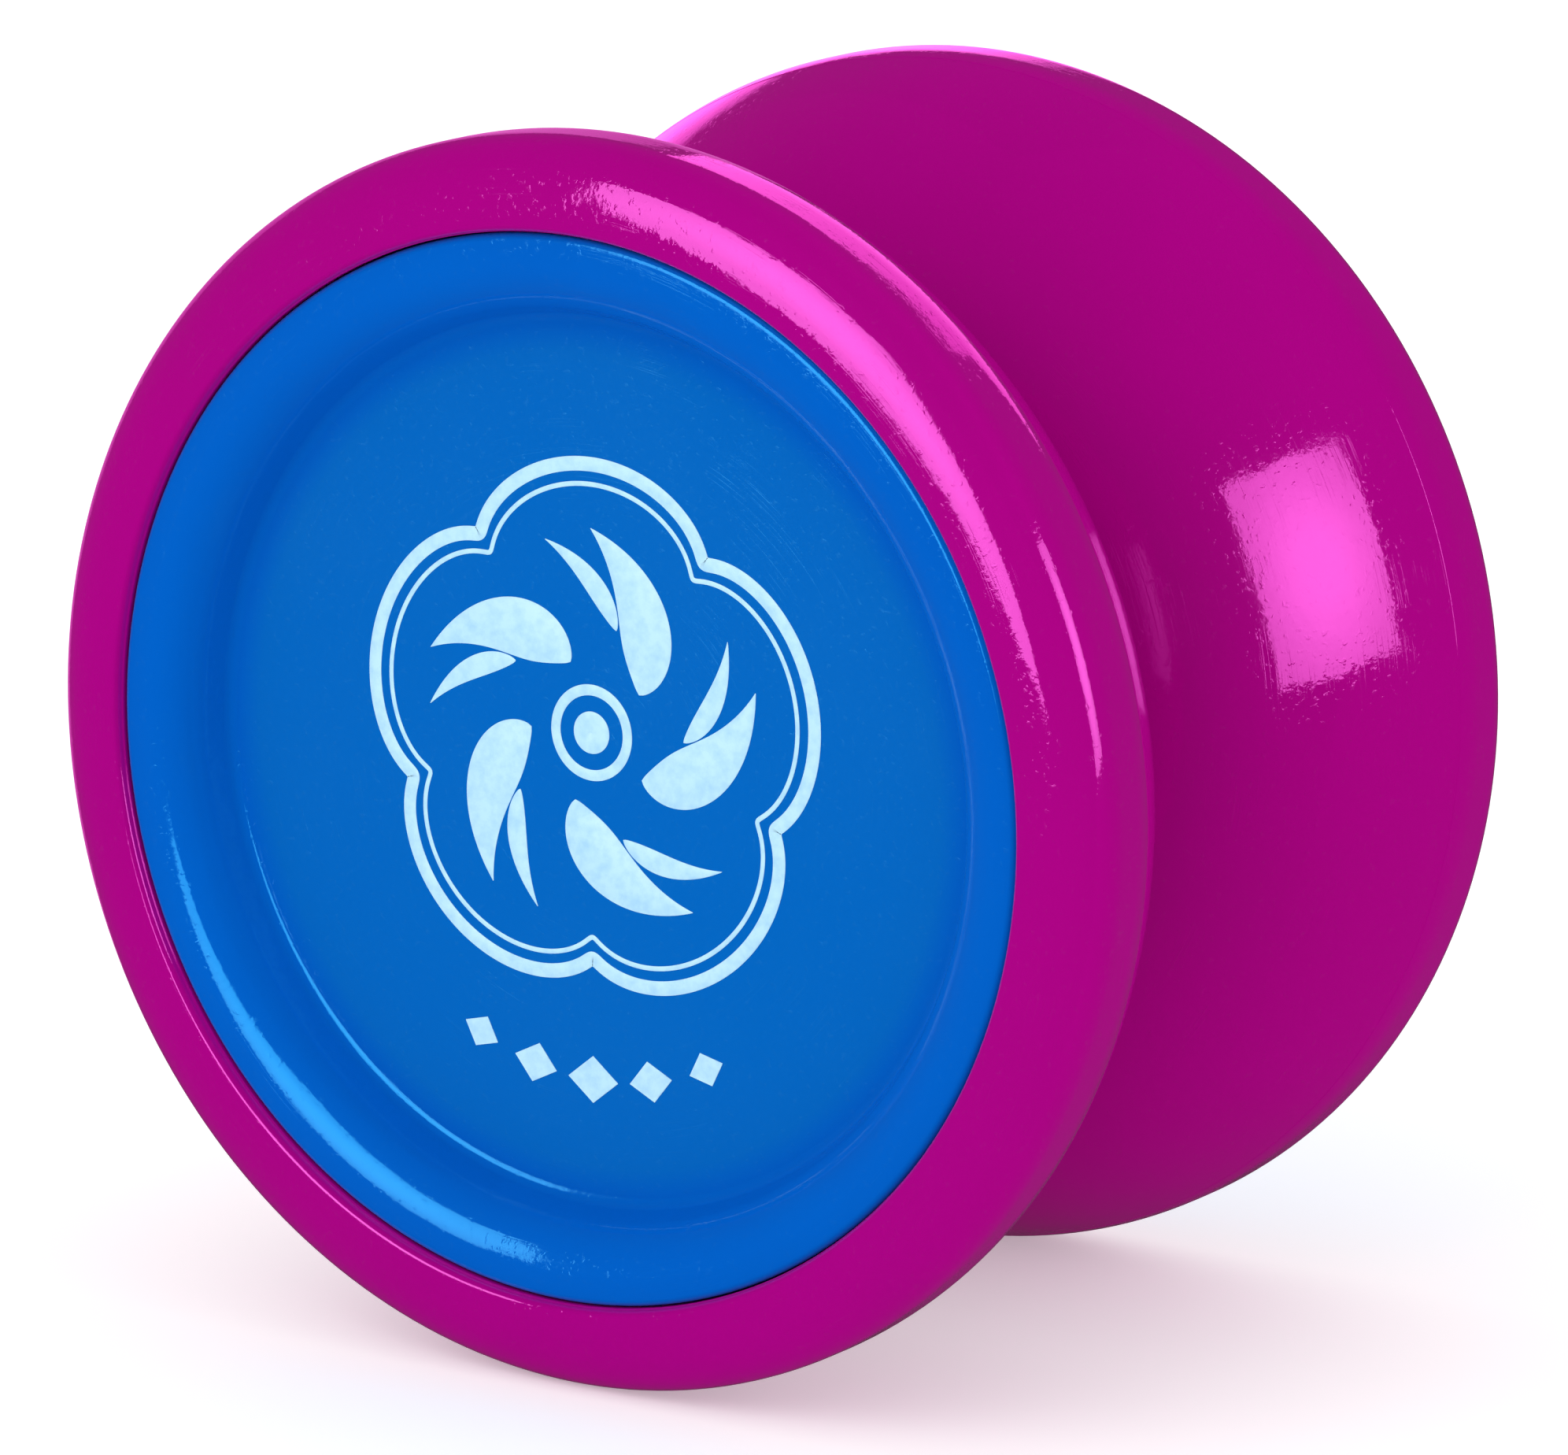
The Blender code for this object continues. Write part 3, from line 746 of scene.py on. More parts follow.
@dataclass(frozen=True)
class Shell:
    """One half's body: a flared bowl with a heavy rim, and the hub that holds the axle and bearing."""

    rim_radius: float
    half_width: float
    string_gap: float = 2.5 * MM
    hub_radius: float = 12.0 * MM
    flare_start: float = 20.0  # degrees between the wall's normal and the radius, at the rim
    crown_radial: float = 3.45 * MM  # the ring's rounding, crest to outside
    crown_axial: float = 2.35 * MM
    crown_fullness: float = 2.25  # exponent of the rounding, 2 for an ellipse
    crest_break: float = 0.02 * MM  # between the crest and the slope inside it
    land_width: float = 1.8 * MM
    edge_radius: float = 4.0 * MM  # between the flared wall and the outside
    wall: float = 2.6 * MM
    rim_wall: float = 4.17 * MM
    cap_sink: float = 0.4 * MM
    seam_break: float = 0.05 * MM
    seam_bulge: float = 0.07 * MM
    skirt_depth: float = 3.5 * MM
    snap_to_foot: float = 1.0 * MM
    snap_height: float = 0.2 * MM
    snap_width: float = 0.92 * MM
    cap_fit: float = 0.06 * MM
    seat_ledge: float = 1.7 * MM
    boss_radius: float = 7.5 * MM
    boss_chamfer: float = 0.5 * MM
    hub_bore: float = 2.15 * MM
    nut_fit: float = 0.07 * MM
    slide_fit: float = 0.05 * MM
    pocket_fit: float = 0.39 * MM
    pocket_depth_fit: float = 0.16 * MM
    pad_inner_radius: float = 6.4 * MM
    corner: float = 0.12 * MM
    steps: int = 240

    @property
    def seam(self) -> float:
        """Height of the cap's edge above the middle plane."""
        return self.half_width - self.cap_sink

    @property
    def seat_radius(self) -> float:
        """Radius of the wall that the cap snaps into."""
        return self.rim_radius - self.rim_wall

    def flare_circle(self) -> tuple[tuple[float, float], float]:
        """The arc of the flared wall, from the rim's edge to the hub face.

        Its circle leaves the rim's edge at the flare's starting angle and passes through the hub's
        edge, so its radius is (run^2 + rise^2) / (2 (run cos a - rise sin a)).

        Returns:
            The circle's centre and its radius.
        """
        start = math.radians(self.flare_start)
        edge = self.half_width - self.crown_axial - self.land_width
        run = self.rim_radius - self.hub_radius
        rise = edge - self.string_gap / 2
        radius = (run**2 + rise**2) / (2 * (run * math.cos(start) - rise * math.sin(start)))
        return (self.rim_radius - radius * math.cos(start), edge + radius * math.sin(start)), radius

    def hub(self) -> Array:
        """The hub face from the bore outwards: spacer seat, bearing pocket and pad groove."""
        hub_face = self.string_gap / 2
        seat = reach_of("rear_spacer") + self.slide_fit
        seat_floor = ends_of("rear_spacer")[1] + self.slide_fit
        pocket = reach_of("bearing_outer_ring") + self.pocket_fit
        pocket_floor = ends_of("bearing_outer_ring")[1] + self.pocket_depth_fit
        groove_inner = self.pad_inner_radius - self.slide_fit
        groove_outer = reach_of("rear_response_pad") + self.slide_fit
        groove_floor = ends_of("rear_response_pad")[1] + self.slide_fit
        points = [(self.hub_bore, seat_floor), (seat, seat_floor), (seat, pocket_floor)]
        points += [(pocket, pocket_floor), (pocket, hub_face)]
        points += [(groove_inner, hub_face), (groove_inner, groove_floor)]
        points += [(groove_outer, groove_floor), (groove_outer, hub_face)]
        return stations(points)

    def outside(self) -> Array:
        """The flared wall, the rim's outside and the crowned ring, from the hub to the crest.

        The crown is the quarter of |x / a|^n + |y / b|^n = 1, walked by (a cos^(2/n) t, b sin^(2/n) t).
        """
        centre, radius = self.flare_circle()
        land_start = self.half_width - self.crown_axial
        edge = land_start - self.land_width
        edge_span = self.edge_radius * math.tan(math.radians(self.flare_start) / 2)
        hub_angle = math.degrees(math.atan2(self.string_gap / 2 - centre[1], self.hub_radius - centre[0]))
        flare_end = -self.flare_start - math.degrees(edge_span / radius)
        edge_centre = (self.rim_radius - self.edge_radius, edge + edge_span)
        t = np.radians(np.linspace(0, 90, 49))
        across = self.crown_radial * np.cos(t) ** (2 / self.crown_fullness)
        up = self.crown_axial * np.sin(t) ** (2 / self.crown_fullness)
        crown = np.stack([self.rim_radius - self.crown_radial + across, land_start + up], axis=1)
        return stations(
            arc(centre, (radius, radius), hub_angle, flare_end, 64),
            arc(edge_centre, (self.edge_radius, self.edge_radius), -self.flare_start, 0, 6),
            crown,
        )

    def seat(self) -> Array:
        """The ring's inner slope, the seam, the groove for the cap's bead and the ledge under it."""
        foot = self.seam - self.skirt_depth
        bead = foot + self.snap_to_foot
        half = self.snap_width / 2
        seam_edge = self.seat_radius + self.seam_break
        crest_inner = self.rim_radius - self.crown_radial - self.crest_break
        middle = (crest_inner + seam_edge) / 2
        ledge = foot - self.cap_fit
        slope = arc((middle, self.seam), (crest_inner - middle, self.cap_sink), 90, 150, 8)[1:]
        return stations(
            slope,
            [(seam_edge, self.seam), (self.seat_radius, self.seam - self.seam_break)],
            [(self.seat_radius, bead + half), (self.seat_radius + self.snap_height, bead + half / 2)],
            [(self.seat_radius + self.snap_height, bead - half / 2), (self.seat_radius, bead - half)],
            [(self.seat_radius, ledge), (self.seat_radius - self.seat_ledge, ledge)],
        )

    def inside(self) -> Array:
        """The inside of the bowl, the hub's boss and the hexagonal pocket for the nut."""
        centre, radius = self.flare_circle()
        moved = (centre[0], centre[1] + self.wall)
        start = -math.degrees(math.acos((self.seat_radius - self.seat_ledge - centre[0]) / radius))
        end = math.degrees(math.atan2(self.string_gap / 2 - centre[1], self.hub_radius - centre[0]))
        nut_base, top = ends_of("rear_nut")
        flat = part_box("rear_nut")[1].z + self.nut_fit
        floor = nut_base - self.nut_fit
        return stations(
            arc(moved, (radius, radius), start, end, 40),
            [(self.boss_radius, self.string_gap / 2 + self.wall)],
            [(self.boss_radius, top - self.boss_chamfer)],
            [(self.boss_radius - self.boss_chamfer, top)],
            [(flat, top, 1), (flat, floor, 1)],
            [(self.hub_bore, floor)],
        )

    def build(self, finishes: Finishes) -> None:
        """Makes both shells.

        Args:
            finishes: the finishes to dress them in.
        """
        outline = np.concatenate([self.hub(), self.outside(), self.seat(), self.inside()])
        surface = turned(softened(outline, self.corner), self.steps)
        for side in Side:
            piece = surface.facing(side).piece(f"{side.value}_shell_moulding")
            fit(piece, finishes.shell, side.body, "shell", f"{side.value}_shell")


@dataclass(frozen=True)
class Cap:
    """The dished cap that snaps into a rim, with a print on its flat face."""

    radius: float
    seam: float
    skirt_depth: float
    snap_to_foot: float
    snap_height: float
    face_depth: float = 2.85 * MM
    thickness: float = 1.5 * MM
    edge_radius: float = 0.35 * MM
    lip: float = 0.69 * MM
    brow_radius: float = 2.7 * MM
    steepness: float = 68.0
    foot_radius: float = 0.6 * MM
    skirt_wall: float = 1.5 * MM
    snap_width: float = 0.8 * MM
    corner: float = 0.12 * MM
    steps: int = 240

    @property
    def face(self) -> float:
        """Height of the flat face above the middle plane."""
        return self.seam - self.face_depth

    def outline(self) -> Array:
        """The cap from the middle of its face, over the lip, down the skirt and back underneath."""
        steep = math.radians(self.steepness)
        foot_rise = self.foot_radius * (1 - math.cos(steep))
        brow_rise = self.brow_radius * (1 - math.cos(steep))
        slope_run = (self.face_depth - foot_rise - brow_rise) / math.tan(steep)
        edge_centre = (self.radius - self.edge_radius, self.seam - self.edge_radius)
        brow_centre = (edge_centre[0] - self.lip, self.seam - self.brow_radius)
        rounds = (self.brow_radius + self.foot_radius) * math.sin(steep)
        face_radius = brow_centre[0] - slope_run - rounds
        foot_centre = (face_radius, self.face + self.foot_radius)
        under = self.face - self.thickness
        foot = self.seam - self.skirt_depth
        bead = foot + self.snap_to_foot
        half = self.snap_width / 2
        inner = self.radius - self.skirt_wall
        proud = self.radius + self.snap_height
        face_rings = np.linspace(0, face_radius, 12)[:-1]
        return stations(
            np.stack([face_rings, np.full_like(face_rings, self.face)], axis=1),
            arc(foot_centre, (self.foot_radius, self.foot_radius), -90, self.steepness - 90, 10),
            arc(brow_centre, (self.brow_radius, self.brow_radius), 90 + self.steepness, 90, 32),
            arc(edge_centre, (self.edge_radius, self.edge_radius), 90, 0, 10),
            [(self.radius, bead + half), (proud, bead + half / 2), (proud, bead - half / 2)],
            [(self.radius, bead - half), (self.radius, foot), (inner, foot), (inner, foot + self.skirt_wall)],
            [(face_radius + self.thickness / 2, under), (face_radius / 2, under), (0, under)],
        )

    def build(self, finishes: Finishes) -> None:
        """Makes both caps.

        Args:
            finishes: the finishes to dress them in.
        """
        surface = turned(softened(self.outline(), self.corner), self.steps)
        for side in Side:
            piece = surface.facing(side).piece(f"{side.value}_cap_moulding")
            fit(piece, finishes.cap, side.body, "cap", f"{side.value}_cap")


@dataclass(frozen=True)
class Emblem:
    """The plain print on a cap: five swirling blades in a wavy ring, and a row of diamonds below."""

    face: float
    blades: int = 5
    centre_height: float = 1.4 * MM
    ring_radius: float = 11.3 * MM
    ring_wave: float = 0.9 * MM
    ring_width: float = 0.66 * MM
    ring_gap: float = 0.95 * MM
    inner_ring_width: float = 0.22 * MM
    blade_start: float = 3.3 * MM
    blade_end: float = 9.3 * MM
    blade_width: float = 2.7 * MM
    blade_sweep: float = 52.0  # degrees that a blade turns from its root to its tip
    dart_start: float = 5.0 * MM
    dart_end: float = 8.9 * MM
    dart_sweep: float = 32.24  # degrees
    dart_width: float = 1.0 * MM
    point_width: float = 0.03 * MM  # of a stroke where it runs out
    lean: float = 0.16  # how far the ring's waves lean, in radians
    dot_width: float = 0.9555 * MM
    diamond_shrink: float = 0.14  # of each diamond beside the one before
    diamond_height: float = 0.8  # beside its width
    ring_points: int = 480
    hub_radius: float = 1.95 * MM
    hub_width: float = 0.5 * MM
    row_radius: float = 14.6 * MM
    row_pitch: float = 12.5  # degrees between the diamonds
    diamond: float = 2.7 * MM
    thickness: float = 0.03 * MM
    sink: float = 0.01 * MM
    bevel: float = 0.02 * MM

    def stroke(self, path: Array, width: Array, meets: bool) -> Surface:
        """A flat stroke of ink.

        The section is a low block with bevelled shoulders, carried along the path: each of its six
        points stands off the path by a share of the width, along the path's own normal.

        Args:
            path: points of the stroke's middle, across and up the face.
            width: the stroke's width at each of them.
            meets: whether the path joins its own start.

        Returns:
            The closed surface, in a half's own frame.
        """
        if meets:
            heading = np.roll(path, -1, axis=0) - np.roll(path, 1, axis=0)
        else:
            heading = np.gradient(path, axis=0)
        heading /= np.linalg.norm(heading, axis=1)[:, None]
        normal = np.stack([-heading[:, 1], heading[:, 0]], axis=1)
        half = width[:, None] / 2
        bevel = np.minimum(self.bevel, half / 2)
        off = np.concatenate([-half, -half, -half + bevel, half - bevel, half, half], axis=1)
        top = self.thickness
        height = np.array([-self.sink, top - self.bevel / 2, top, top, top - self.bevel / 2, -self.sink])
        flat = path[:, None] + normal[:, None] * off[..., None]
        along = np.broadcast_to(self.face + height, off.shape)
        grid = np.stack([-flat[..., 0], along, flat[..., 1]], axis=-1)
        rows, columns = off.shape
        quads = woven(rows, columns, meets, True)
        if meets:
            return Surface(grid.reshape(-1, 3), quads, NO_TRIANGLES)
        fan = np.stack([np.zeros(4, int), np.arange(1, 5), np.arange(2, 6)], axis=1)
        ends = np.concatenate([fan, fan[:, ::-1] + (rows - 1) * columns])
        return Surface(grid.reshape(-1, 3), quads, ends)

    def polar(self, radius: Array, angle: Array) -> Array:
        """Points about the emblem's middle, from radii and angles in radians."""
        return np.stack([radius * np.cos(angle), self.centre_height + radius * np.sin(angle)], axis=1)

    def wavy_ring(self, radius: float, wave: float, width: float) -> Surface:
        """A ring whose radius is radius + wave cos(n (t - lag)), leaning the way the blades turn."""
        t = math.tau * np.arange(self.ring_points) / self.ring_points
        lean = self.lean * np.sin(self.blades * (t - math.pi / 2))
        reach = radius + wave * np.cos(self.blades * (t - math.pi / 2))
        return self.stroke(self.polar(reach, t + lean), np.full(self.ring_points, width), True)

    def blade(self, root: float, start: float, end: float, sweep: float, width: float) -> Surface:
        """A pointed blade that swirls out from the hub.

        Its middle is r = start + (end - start) s at angle root + sweep s, and its width follows
        sin(pi s^0.75), fat near the root and drawn out to a point.
        """
        s = np.linspace(0, 1, 64)
        middle = self.polar(start + (end - start) * s, root + math.radians(sweep) * s)
        return self.stroke(middle, width * np.sin(math.pi * s**0.75) + self.point_width, False)

    def diamonds(self) -> list[Surface]:
        """The row of diamonds, each a stroke whose width grows and shrinks in a straight line."""
        found = []
        s = np.linspace(-1, 1, 25)
        for place in range(-2, 3):
            angle = math.radians(-90 + self.row_pitch * place)
            size = self.diamond * (1 - self.diamond_shrink * abs(place))
            middle = np.array([math.cos(angle), math.sin(angle)]) * self.row_radius
            tangent = np.array([-math.sin(angle), math.cos(angle)])
            path = middle + tangent * (s * size / 2)[:, None]
            width = size * self.diamond_height * (1 - np.abs(s)) + self.point_width
            found.append(self.stroke(path, width, False))
        return found

    def build(self, finishes: Finishes) -> None:
        """Prints both caps.

        Args:
            finishes: the finishes, for the ink.
        """
        strokes = [self.wavy_ring(self.ring_radius, self.ring_wave, self.ring_width)]
        inner_radius = self.ring_radius - self.ring_gap
        strokes += [self.wavy_ring(inner_radius, self.ring_wave * 1.05, self.inner_ring_width)]
        strokes += [self.wavy_ring(self.hub_radius, 0.0, self.hub_width)]
        strokes += [self.wavy_ring(self.hub_radius / 4, 0.0, self.dot_width)]
        for number in range(self.blades):
            root = math.pi / 2 + math.tau * number / self.blades - math.radians(self.blade_sweep)
            between = root + math.pi / self.blades
            for place, start, end, sweep, width in (
                (root, self.blade_start, self.blade_end, self.blade_sweep, self.blade_width),
                (between, self.dart_start, self.dart_end, self.dart_sweep, self.dart_width),
            ):
                strokes += [self.blade(place, start, end, sweep, width)]
        surface = joined(strokes + self.diamonds())
        for side in Side:
            piece = surface.facing(side).piece(f"{side.value}_cap_print")
            fit(piece, finishes.ink, side.body, "cap")


@dataclass(frozen=True)
class ResponsePads:
    """The friction rings beside the string."""

    inner_radius: float = 6.4 * MM
    corner: float = 0.12 * MM
    steps: int = 192

    def build(self, finishes: Finishes) -> None:
        """Makes both pads.

        Args:
            finishes: the finishes to dress them in.
        """
        outer = reach_of("rear_response_pad")
        face, back = ends_of("rear_response_pad")
        outline = [(self.inner_radius, face), (outer, face), (outer, back), (self.inner_radius, back)]
        surface = turned(softened(stations(outline), self.corner), self.steps)
        for side in Side:
            piece = surface.facing(side).piece(f"{side.value}_pad_ring")
            fit(piece, finishes.rubber, side.body, "pad", f"{side.value}_response_pad")


# ---------------------------------------------------------------- axle and bearing


@dataclass(frozen=True)
class Axle:
    """The headless stud, the two hex nuts that it turns in, and the flanged spacers on it."""

    thread_radius: float = 2.0 * MM
    pitch: float = 0.7 * MM
    thread_depth: float = 0.43 * MM
    thread_clearance: float = 0.05 * MM
    root_share: float = 0.25  # flat root of the thread, as a share of the pitch
    crest_share: float = 0.125
    nut_cone: float = 30.0  # degrees
    stud_chamfer: float = 0.4 * MM
    nut_land_inset: float = 0.15 * MM
    spacer_bore: float = 2.05 * MM
    spacer_stub_radius: float = 2.33 * MM
    spacer_stub_gap: float = 0.3 * MM
    spacer_face_clearance: float = 0.02 * MM
    corner: float = 0.08 * MM
    steps: int = 72
    stations_per_turn: int = 14

    def thread(self, along: Array, turn: Array) -> Array:
        """The radius of a right-hand thread at a place along the axle and round it.

        The phase is y / pitch + t / a whole turn. The flanks rise in a straight line between a flat
        root, a quarter of the pitch wide, and a flat crest, an eighth of it.
        """
        phase = along / self.pitch + turn / math.tau
        rise = 1 - np.abs(2 * (phase % 1) - 1)
        share = np.clip((rise - self.root_share) / (1 - self.root_share - self.crest_share), 0, 1)
        return self.thread_radius - self.thread_depth * (1 - share)

    def stud(self) -> Surface:
        """The stud: the thread, cut back by a chamfer cone at each end."""
        low, high = ends_of("axle_stud")
        count = int((high - low) / self.pitch * self.stations_per_turn)
        along = np.linspace(low, high, count)
        middle = np.stack([np.full(count, self.thread_radius), along], axis=1)
        outline = stations([(0, low)], middle, [(0, high)])

        def reach(radius: Array, places: Array, turn: Array) -> Array:
            """The thread's radius, or the chamfer's where that is less."""
            cone = self.thread_radius - self.stud_chamfer + (high - np.abs(places))
            return np.where(radius > 0, np.minimum(self.thread(places, turn), cone), radius)

        return turned(outline, self.steps, reach)

    def nut(self, side: Side) -> Surface:
        """A hex nut: threaded inside, its corners cut back by a 30 degree cone at both ends.

        Both nuts follow the stud's own thread, so the front one is not the rear one turned round.

        Args:
            side: the half that holds the nut.

        Returns:
            The nut's closed surface, in the world's frame.
        """
        base, top = ends_of(f"{side.value}_nut")
        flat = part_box(f"{side.value}_nut")[1].z
        count = int((top - base) / self.pitch * self.stations_per_turn)
        bore = np.stack([np.full(count, self.thread_radius), np.linspace(top, base, count)], axis=1)
        lands = np.array([0.0, 0.1, 0.2, 0.3, 0.45]) * MM
        heights = np.concatenate([base + lands, top - lands[::-1]])
        flats = np.stack([np.full(len(heights), flat), heights, np.ones(len(heights))], axis=1)
        outline = np.concatenate([stations(bore), flats])

        def reach(radius: Array, places: Array, turn: Array) -> Array:
            """The thread inside, and outside the hexagon or the cone, whichever is less."""
            from_end = np.minimum(places - base, top - places)
            threaded = self.thread(places, turn) + self.thread_clearance
            mouth = self.thread_radius + self.thread_clearance - from_end
            cone = flat - self.nut_land_inset + from_end / math.tan(math.radians(self.nut_cone))
            inner = np.maximum(threaded, mouth)
            return np.where(radius < flat * 0.9, inner, np.minimum(radius, cone))

        return turned(outline, self.steps, reach)

    def spacer(self) -> Surface:
        """A flanged sleeve: its stub carries the bearing, its flange sits in the half."""
        flange = reach_of("rear_spacer")
        end = ends_of("rear_spacer")[1]
        face = ends_of("bearing_inner_ring")[1] + self.spacer_face_clearance
        stub_end = self.spacer_stub_gap / 2
        outline = [(self.spacer_bore, stub_end), (self.spacer_stub_radius, stub_end)]
        outline += [(self.spacer_stub_radius, face), (flange, face), (flange, end), (self.spacer_bore, end)]
        return turned(softened(stations(outline), self.corner), 2 * self.steps)

    def build(self, finishes: Finishes) -> None:
        """Makes the stud, the nuts and the spacers.

        Args:
            finishes: the finishes to dress them in.
        """
        fit(self.stud().piece("threaded_stud"), finishes.plated, "rear_half", "plated_steel", "axle_stud")
        spacer = self.spacer()
        for side, spacer_body in ((Side.FRONT, "front_sleeve"), (Side.REAR, "rear_half")):
            nut = self.nut(side).piece(f"{side.value}_hex_nut")
            fit(nut, finishes.plated, side.body, "plated_steel", f"{side.value}_nut")
            sleeve = spacer.facing(side).piece(f"{side.value}_flanged_sleeve")
            fit(sleeve, finishes.aluminium, spacer_body, "spacer", f"{side.value}_spacer")


@dataclass(frozen=True)
class Bearing:
    """The ball bearing: two grooved rings, eight balls in a crown cage, two shields and their clips."""

    bore_radius: float = 2.38 * MM
    ball_radius: float = 0.79 * MM
    balls: int = 8
    race_clearance: float = 0.04 * MM
    race_depth: float = 0.25 * MM
    shield_thickness: float = 0.15 * MM
    shield_depth: float = 0.39 * MM
    shield_step: float = 0.18 * MM
    shield_clearance: float = 0.12 * MM
    bead_height: float = 0.05 * MM
    bead_inset: float = 0.42 * MM  # from the shield's outside to the bead's middle
    bead_spread: float = 0.09 * MM
    bead_inside: float = 0.03 * MM  # the bead stands no higher than this on the balls' side
    shield_corner: float = 0.03 * MM
    slide_fit: float = 0.05 * MM
    face_fit: float = 0.02 * MM
    wire_radius: float = 0.1 * MM
    clip_gap: float = 30.0  # degrees
    cage_gap: float = 0.12 * MM
    cage_clearance: float = 0.05 * MM
    cage_web: float = 0.24 * MM
    cage_prong: float = 0.35 * MM
    pocket_steps: int = 25
    prong_steps: int = 7
    corner: float = 0.06 * MM
    steps: int = 144

    @property
    def outer_radius(self) -> float:
        """Radius of the bearing's outside."""
        return reach_of("bearing_outer_ring")

    @property
    def half_width(self) -> float:
        """Half of the bearing's width."""
        return ends_of("bearing_outer_ring")[1]

    @property
    def pitch_radius(self) -> float:
        """Radius of the circle that the balls' middles lie on."""
        return (self.bore_radius + self.outer_radius) / 2

    @property
    def race_radius(self) -> float:
        """Radius of the balls' grooves."""
        return self.ball_radius + self.race_clearance

    @property
    def inner_land(self) -> float:
        """Outside of the inner ring."""
        return self.pitch_radius - self.race_radius + self.race_depth

    @property
    def outer_land(self) -> float:
        """Inside of the outer ring."""
        return self.pitch_radius + self.race_radius - self.race_depth

    @property
    def shield_seat(self) -> float:
        """Radius of the step that a shield lies in."""
        return self.outer_land + self.shield_step

    def race(self, land: float, middle: float) -> Array:
        """The groove in a ring, an arc across the middle plane."""
        half = math.degrees(math.acos(abs(land - self.pitch_radius) / self.race_radius))
        radii = (self.race_radius, self.race_radius)
        return arc((self.pitch_radius, 0), radii, middle - half, middle + half, 16)

    def inner_ring(self) -> Surface:
        """The ring on the spacers' stubs."""
        face = self.half_width
        corners = [(self.inner_land, -face), (self.bore_radius, -face)]
        corners += [(self.bore_radius, face), (self.inner_land, face)]
        outline = stations(corners, self.race(self.inner_land, 180))
        return turned(softened(outline, self.corner), self.steps)

    def outer_ring(self) -> Surface:
        """The ring that the string turns."""
        face = self.half_width
        step = face - self.shield_depth
        corners = [(self.outer_land, step), (self.shield_seat, step), (self.shield_seat, face)]
        corners += [(self.outer_radius, face), (self.outer_radius, -face)]
        corners += [(self.shield_seat, -face), (self.shield_seat, -step), (self.outer_land, -step)]
        outline = stations(self.race(self.outer_land, 0), corners)
        return turned(softened(outline, self.corner), self.steps)

    def shield(self) -> Surface:
        """A thin washer, dished a little towards the balls with a pressed bead near its outside."""
        inner = self.inner_land + self.shield_clearance
        outer = self.shield_seat - self.slide_fit
        near = self.half_width - self.shield_depth + self.face_fit
        radius = np.linspace(inner, outer, 24)
        far = near + self.shield_thickness
        from_bead = (radius - outer + self.bead_inset) / self.bead_spread
        bead = self.bead_height * np.exp(-(from_bead**2))
        near_face = np.stack([radius, near + np.minimum(bead, self.bead_inside)], axis=1)
        far_face = np.stack([radius, far + bead - self.bead_height], axis=1)[::-1]
        return turned(softened(stations(near_face, far_face), self.shield_corner), self.steps)

    def clip(self) -> Surface:
        """The split wire that holds a shield.

        The point at s along the wire and angle q round it is the middle line's point plus the
        wire's radius times (cos q outwards, sin q along the axle). The radius falls as a quarter
        circle over the last stretch at each end.
        """
        middle_radius = self.shield_seat - self.wire_radius - self.slide_fit
        middle_height = self.half_width - self.wire_radius - self.face_fit
        span = math.radians(360 - self.clip_gap)
        end = self.wire_radius / middle_radius
        cap = end * (1 - np.cos(np.linspace(0, math.pi / 2, 7)))
        travel = np.concatenate([cap, np.linspace(end, span - end, 120)[1:-1], span - cap[::-1]])
        turn = math.radians(90 + self.clip_gap / 2) + travel
        to_end = np.minimum(np.minimum(travel, span - travel), end) / end
        wire = self.wire_radius * np.sqrt(np.clip(1 - (1 - to_end) ** 2, 0, 1))[:, None]
        q = math.tau * np.arange(16)[None, :] / 16
        radius = middle_radius + wire * np.cos(q)
        along = middle_height + wire * np.sin(q)
        grid = np.stack([radius * np.cos(turn)[:, None], along, radius * np.sin(turn)[:, None]], axis=-1)
        return between_poles(grid)

    def cage(self) -> Surface:
        """The crown cage: a ring whose top falls into a round pocket at each ball.

        At a distance d from the nearest ball's middle the top lies at -sqrt(p^2 - d^2), with p the
        pocket's radius, and at the prongs' height outside the pockets.
        """
        inner = self.inner_land + self.cage_gap
        outer = self.outer_land - self.cage_gap
        pocket = self.ball_radius + self.cage_clearance
        back = -(pocket + self.cage_web)
        half_pocket = math.asin(pocket / self.pitch_radius)
        bow = half_pocket * np.sin(np.linspace(-math.pi / 2, math.pi / 2, self.pocket_steps))
        prong = np.linspace(half_pocket, math.tau / self.balls - half_pocket, self.prong_steps)
        one = np.concatenate([bow, prong])
        low = np.concatenate([np.ones(self.pocket_steps, bool), np.zeros(self.prong_steps, bool)])
        turn = (math.tau * (np.arange(self.balls)[:, None] + 0.5) / self.balls + one[None, :]).ravel()
        sunk = np.tile(low, self.balls)
        offset = np.tile(one, self.balls)
        depth = np.sqrt(np.clip(pocket**2 - (self.pitch_radius * np.sin(offset)) ** 2, 0, None))
        top = np.where(sunk, -depth, self.cage_prong)
        edge = self.corner / 2
        middle = (inner + outer) / 2
        radius = np.array([middle, inner + edge, inner, inner, inner + edge, middle])
        radius = np.concatenate([radius, [outer - edge, outer, outer, outer - edge]])
        share = np.array([0, 0, 0, 1, 1, 1, 1, 1, 0, 0.0])
        inset = np.array([0, 0, 1, -1, 0, 0, 0, -1, 1, 0]) * edge
        along = back + share * (top[:, None] - back) + inset
        grid = np.stack([radius * np.cos(turn)[:, None], along, radius * np.sin(turn)[:, None]], axis=-1)
        return Surface(grid.reshape(-1, 3), woven(*grid.shape[:2], True, True), NO_TRIANGLES)

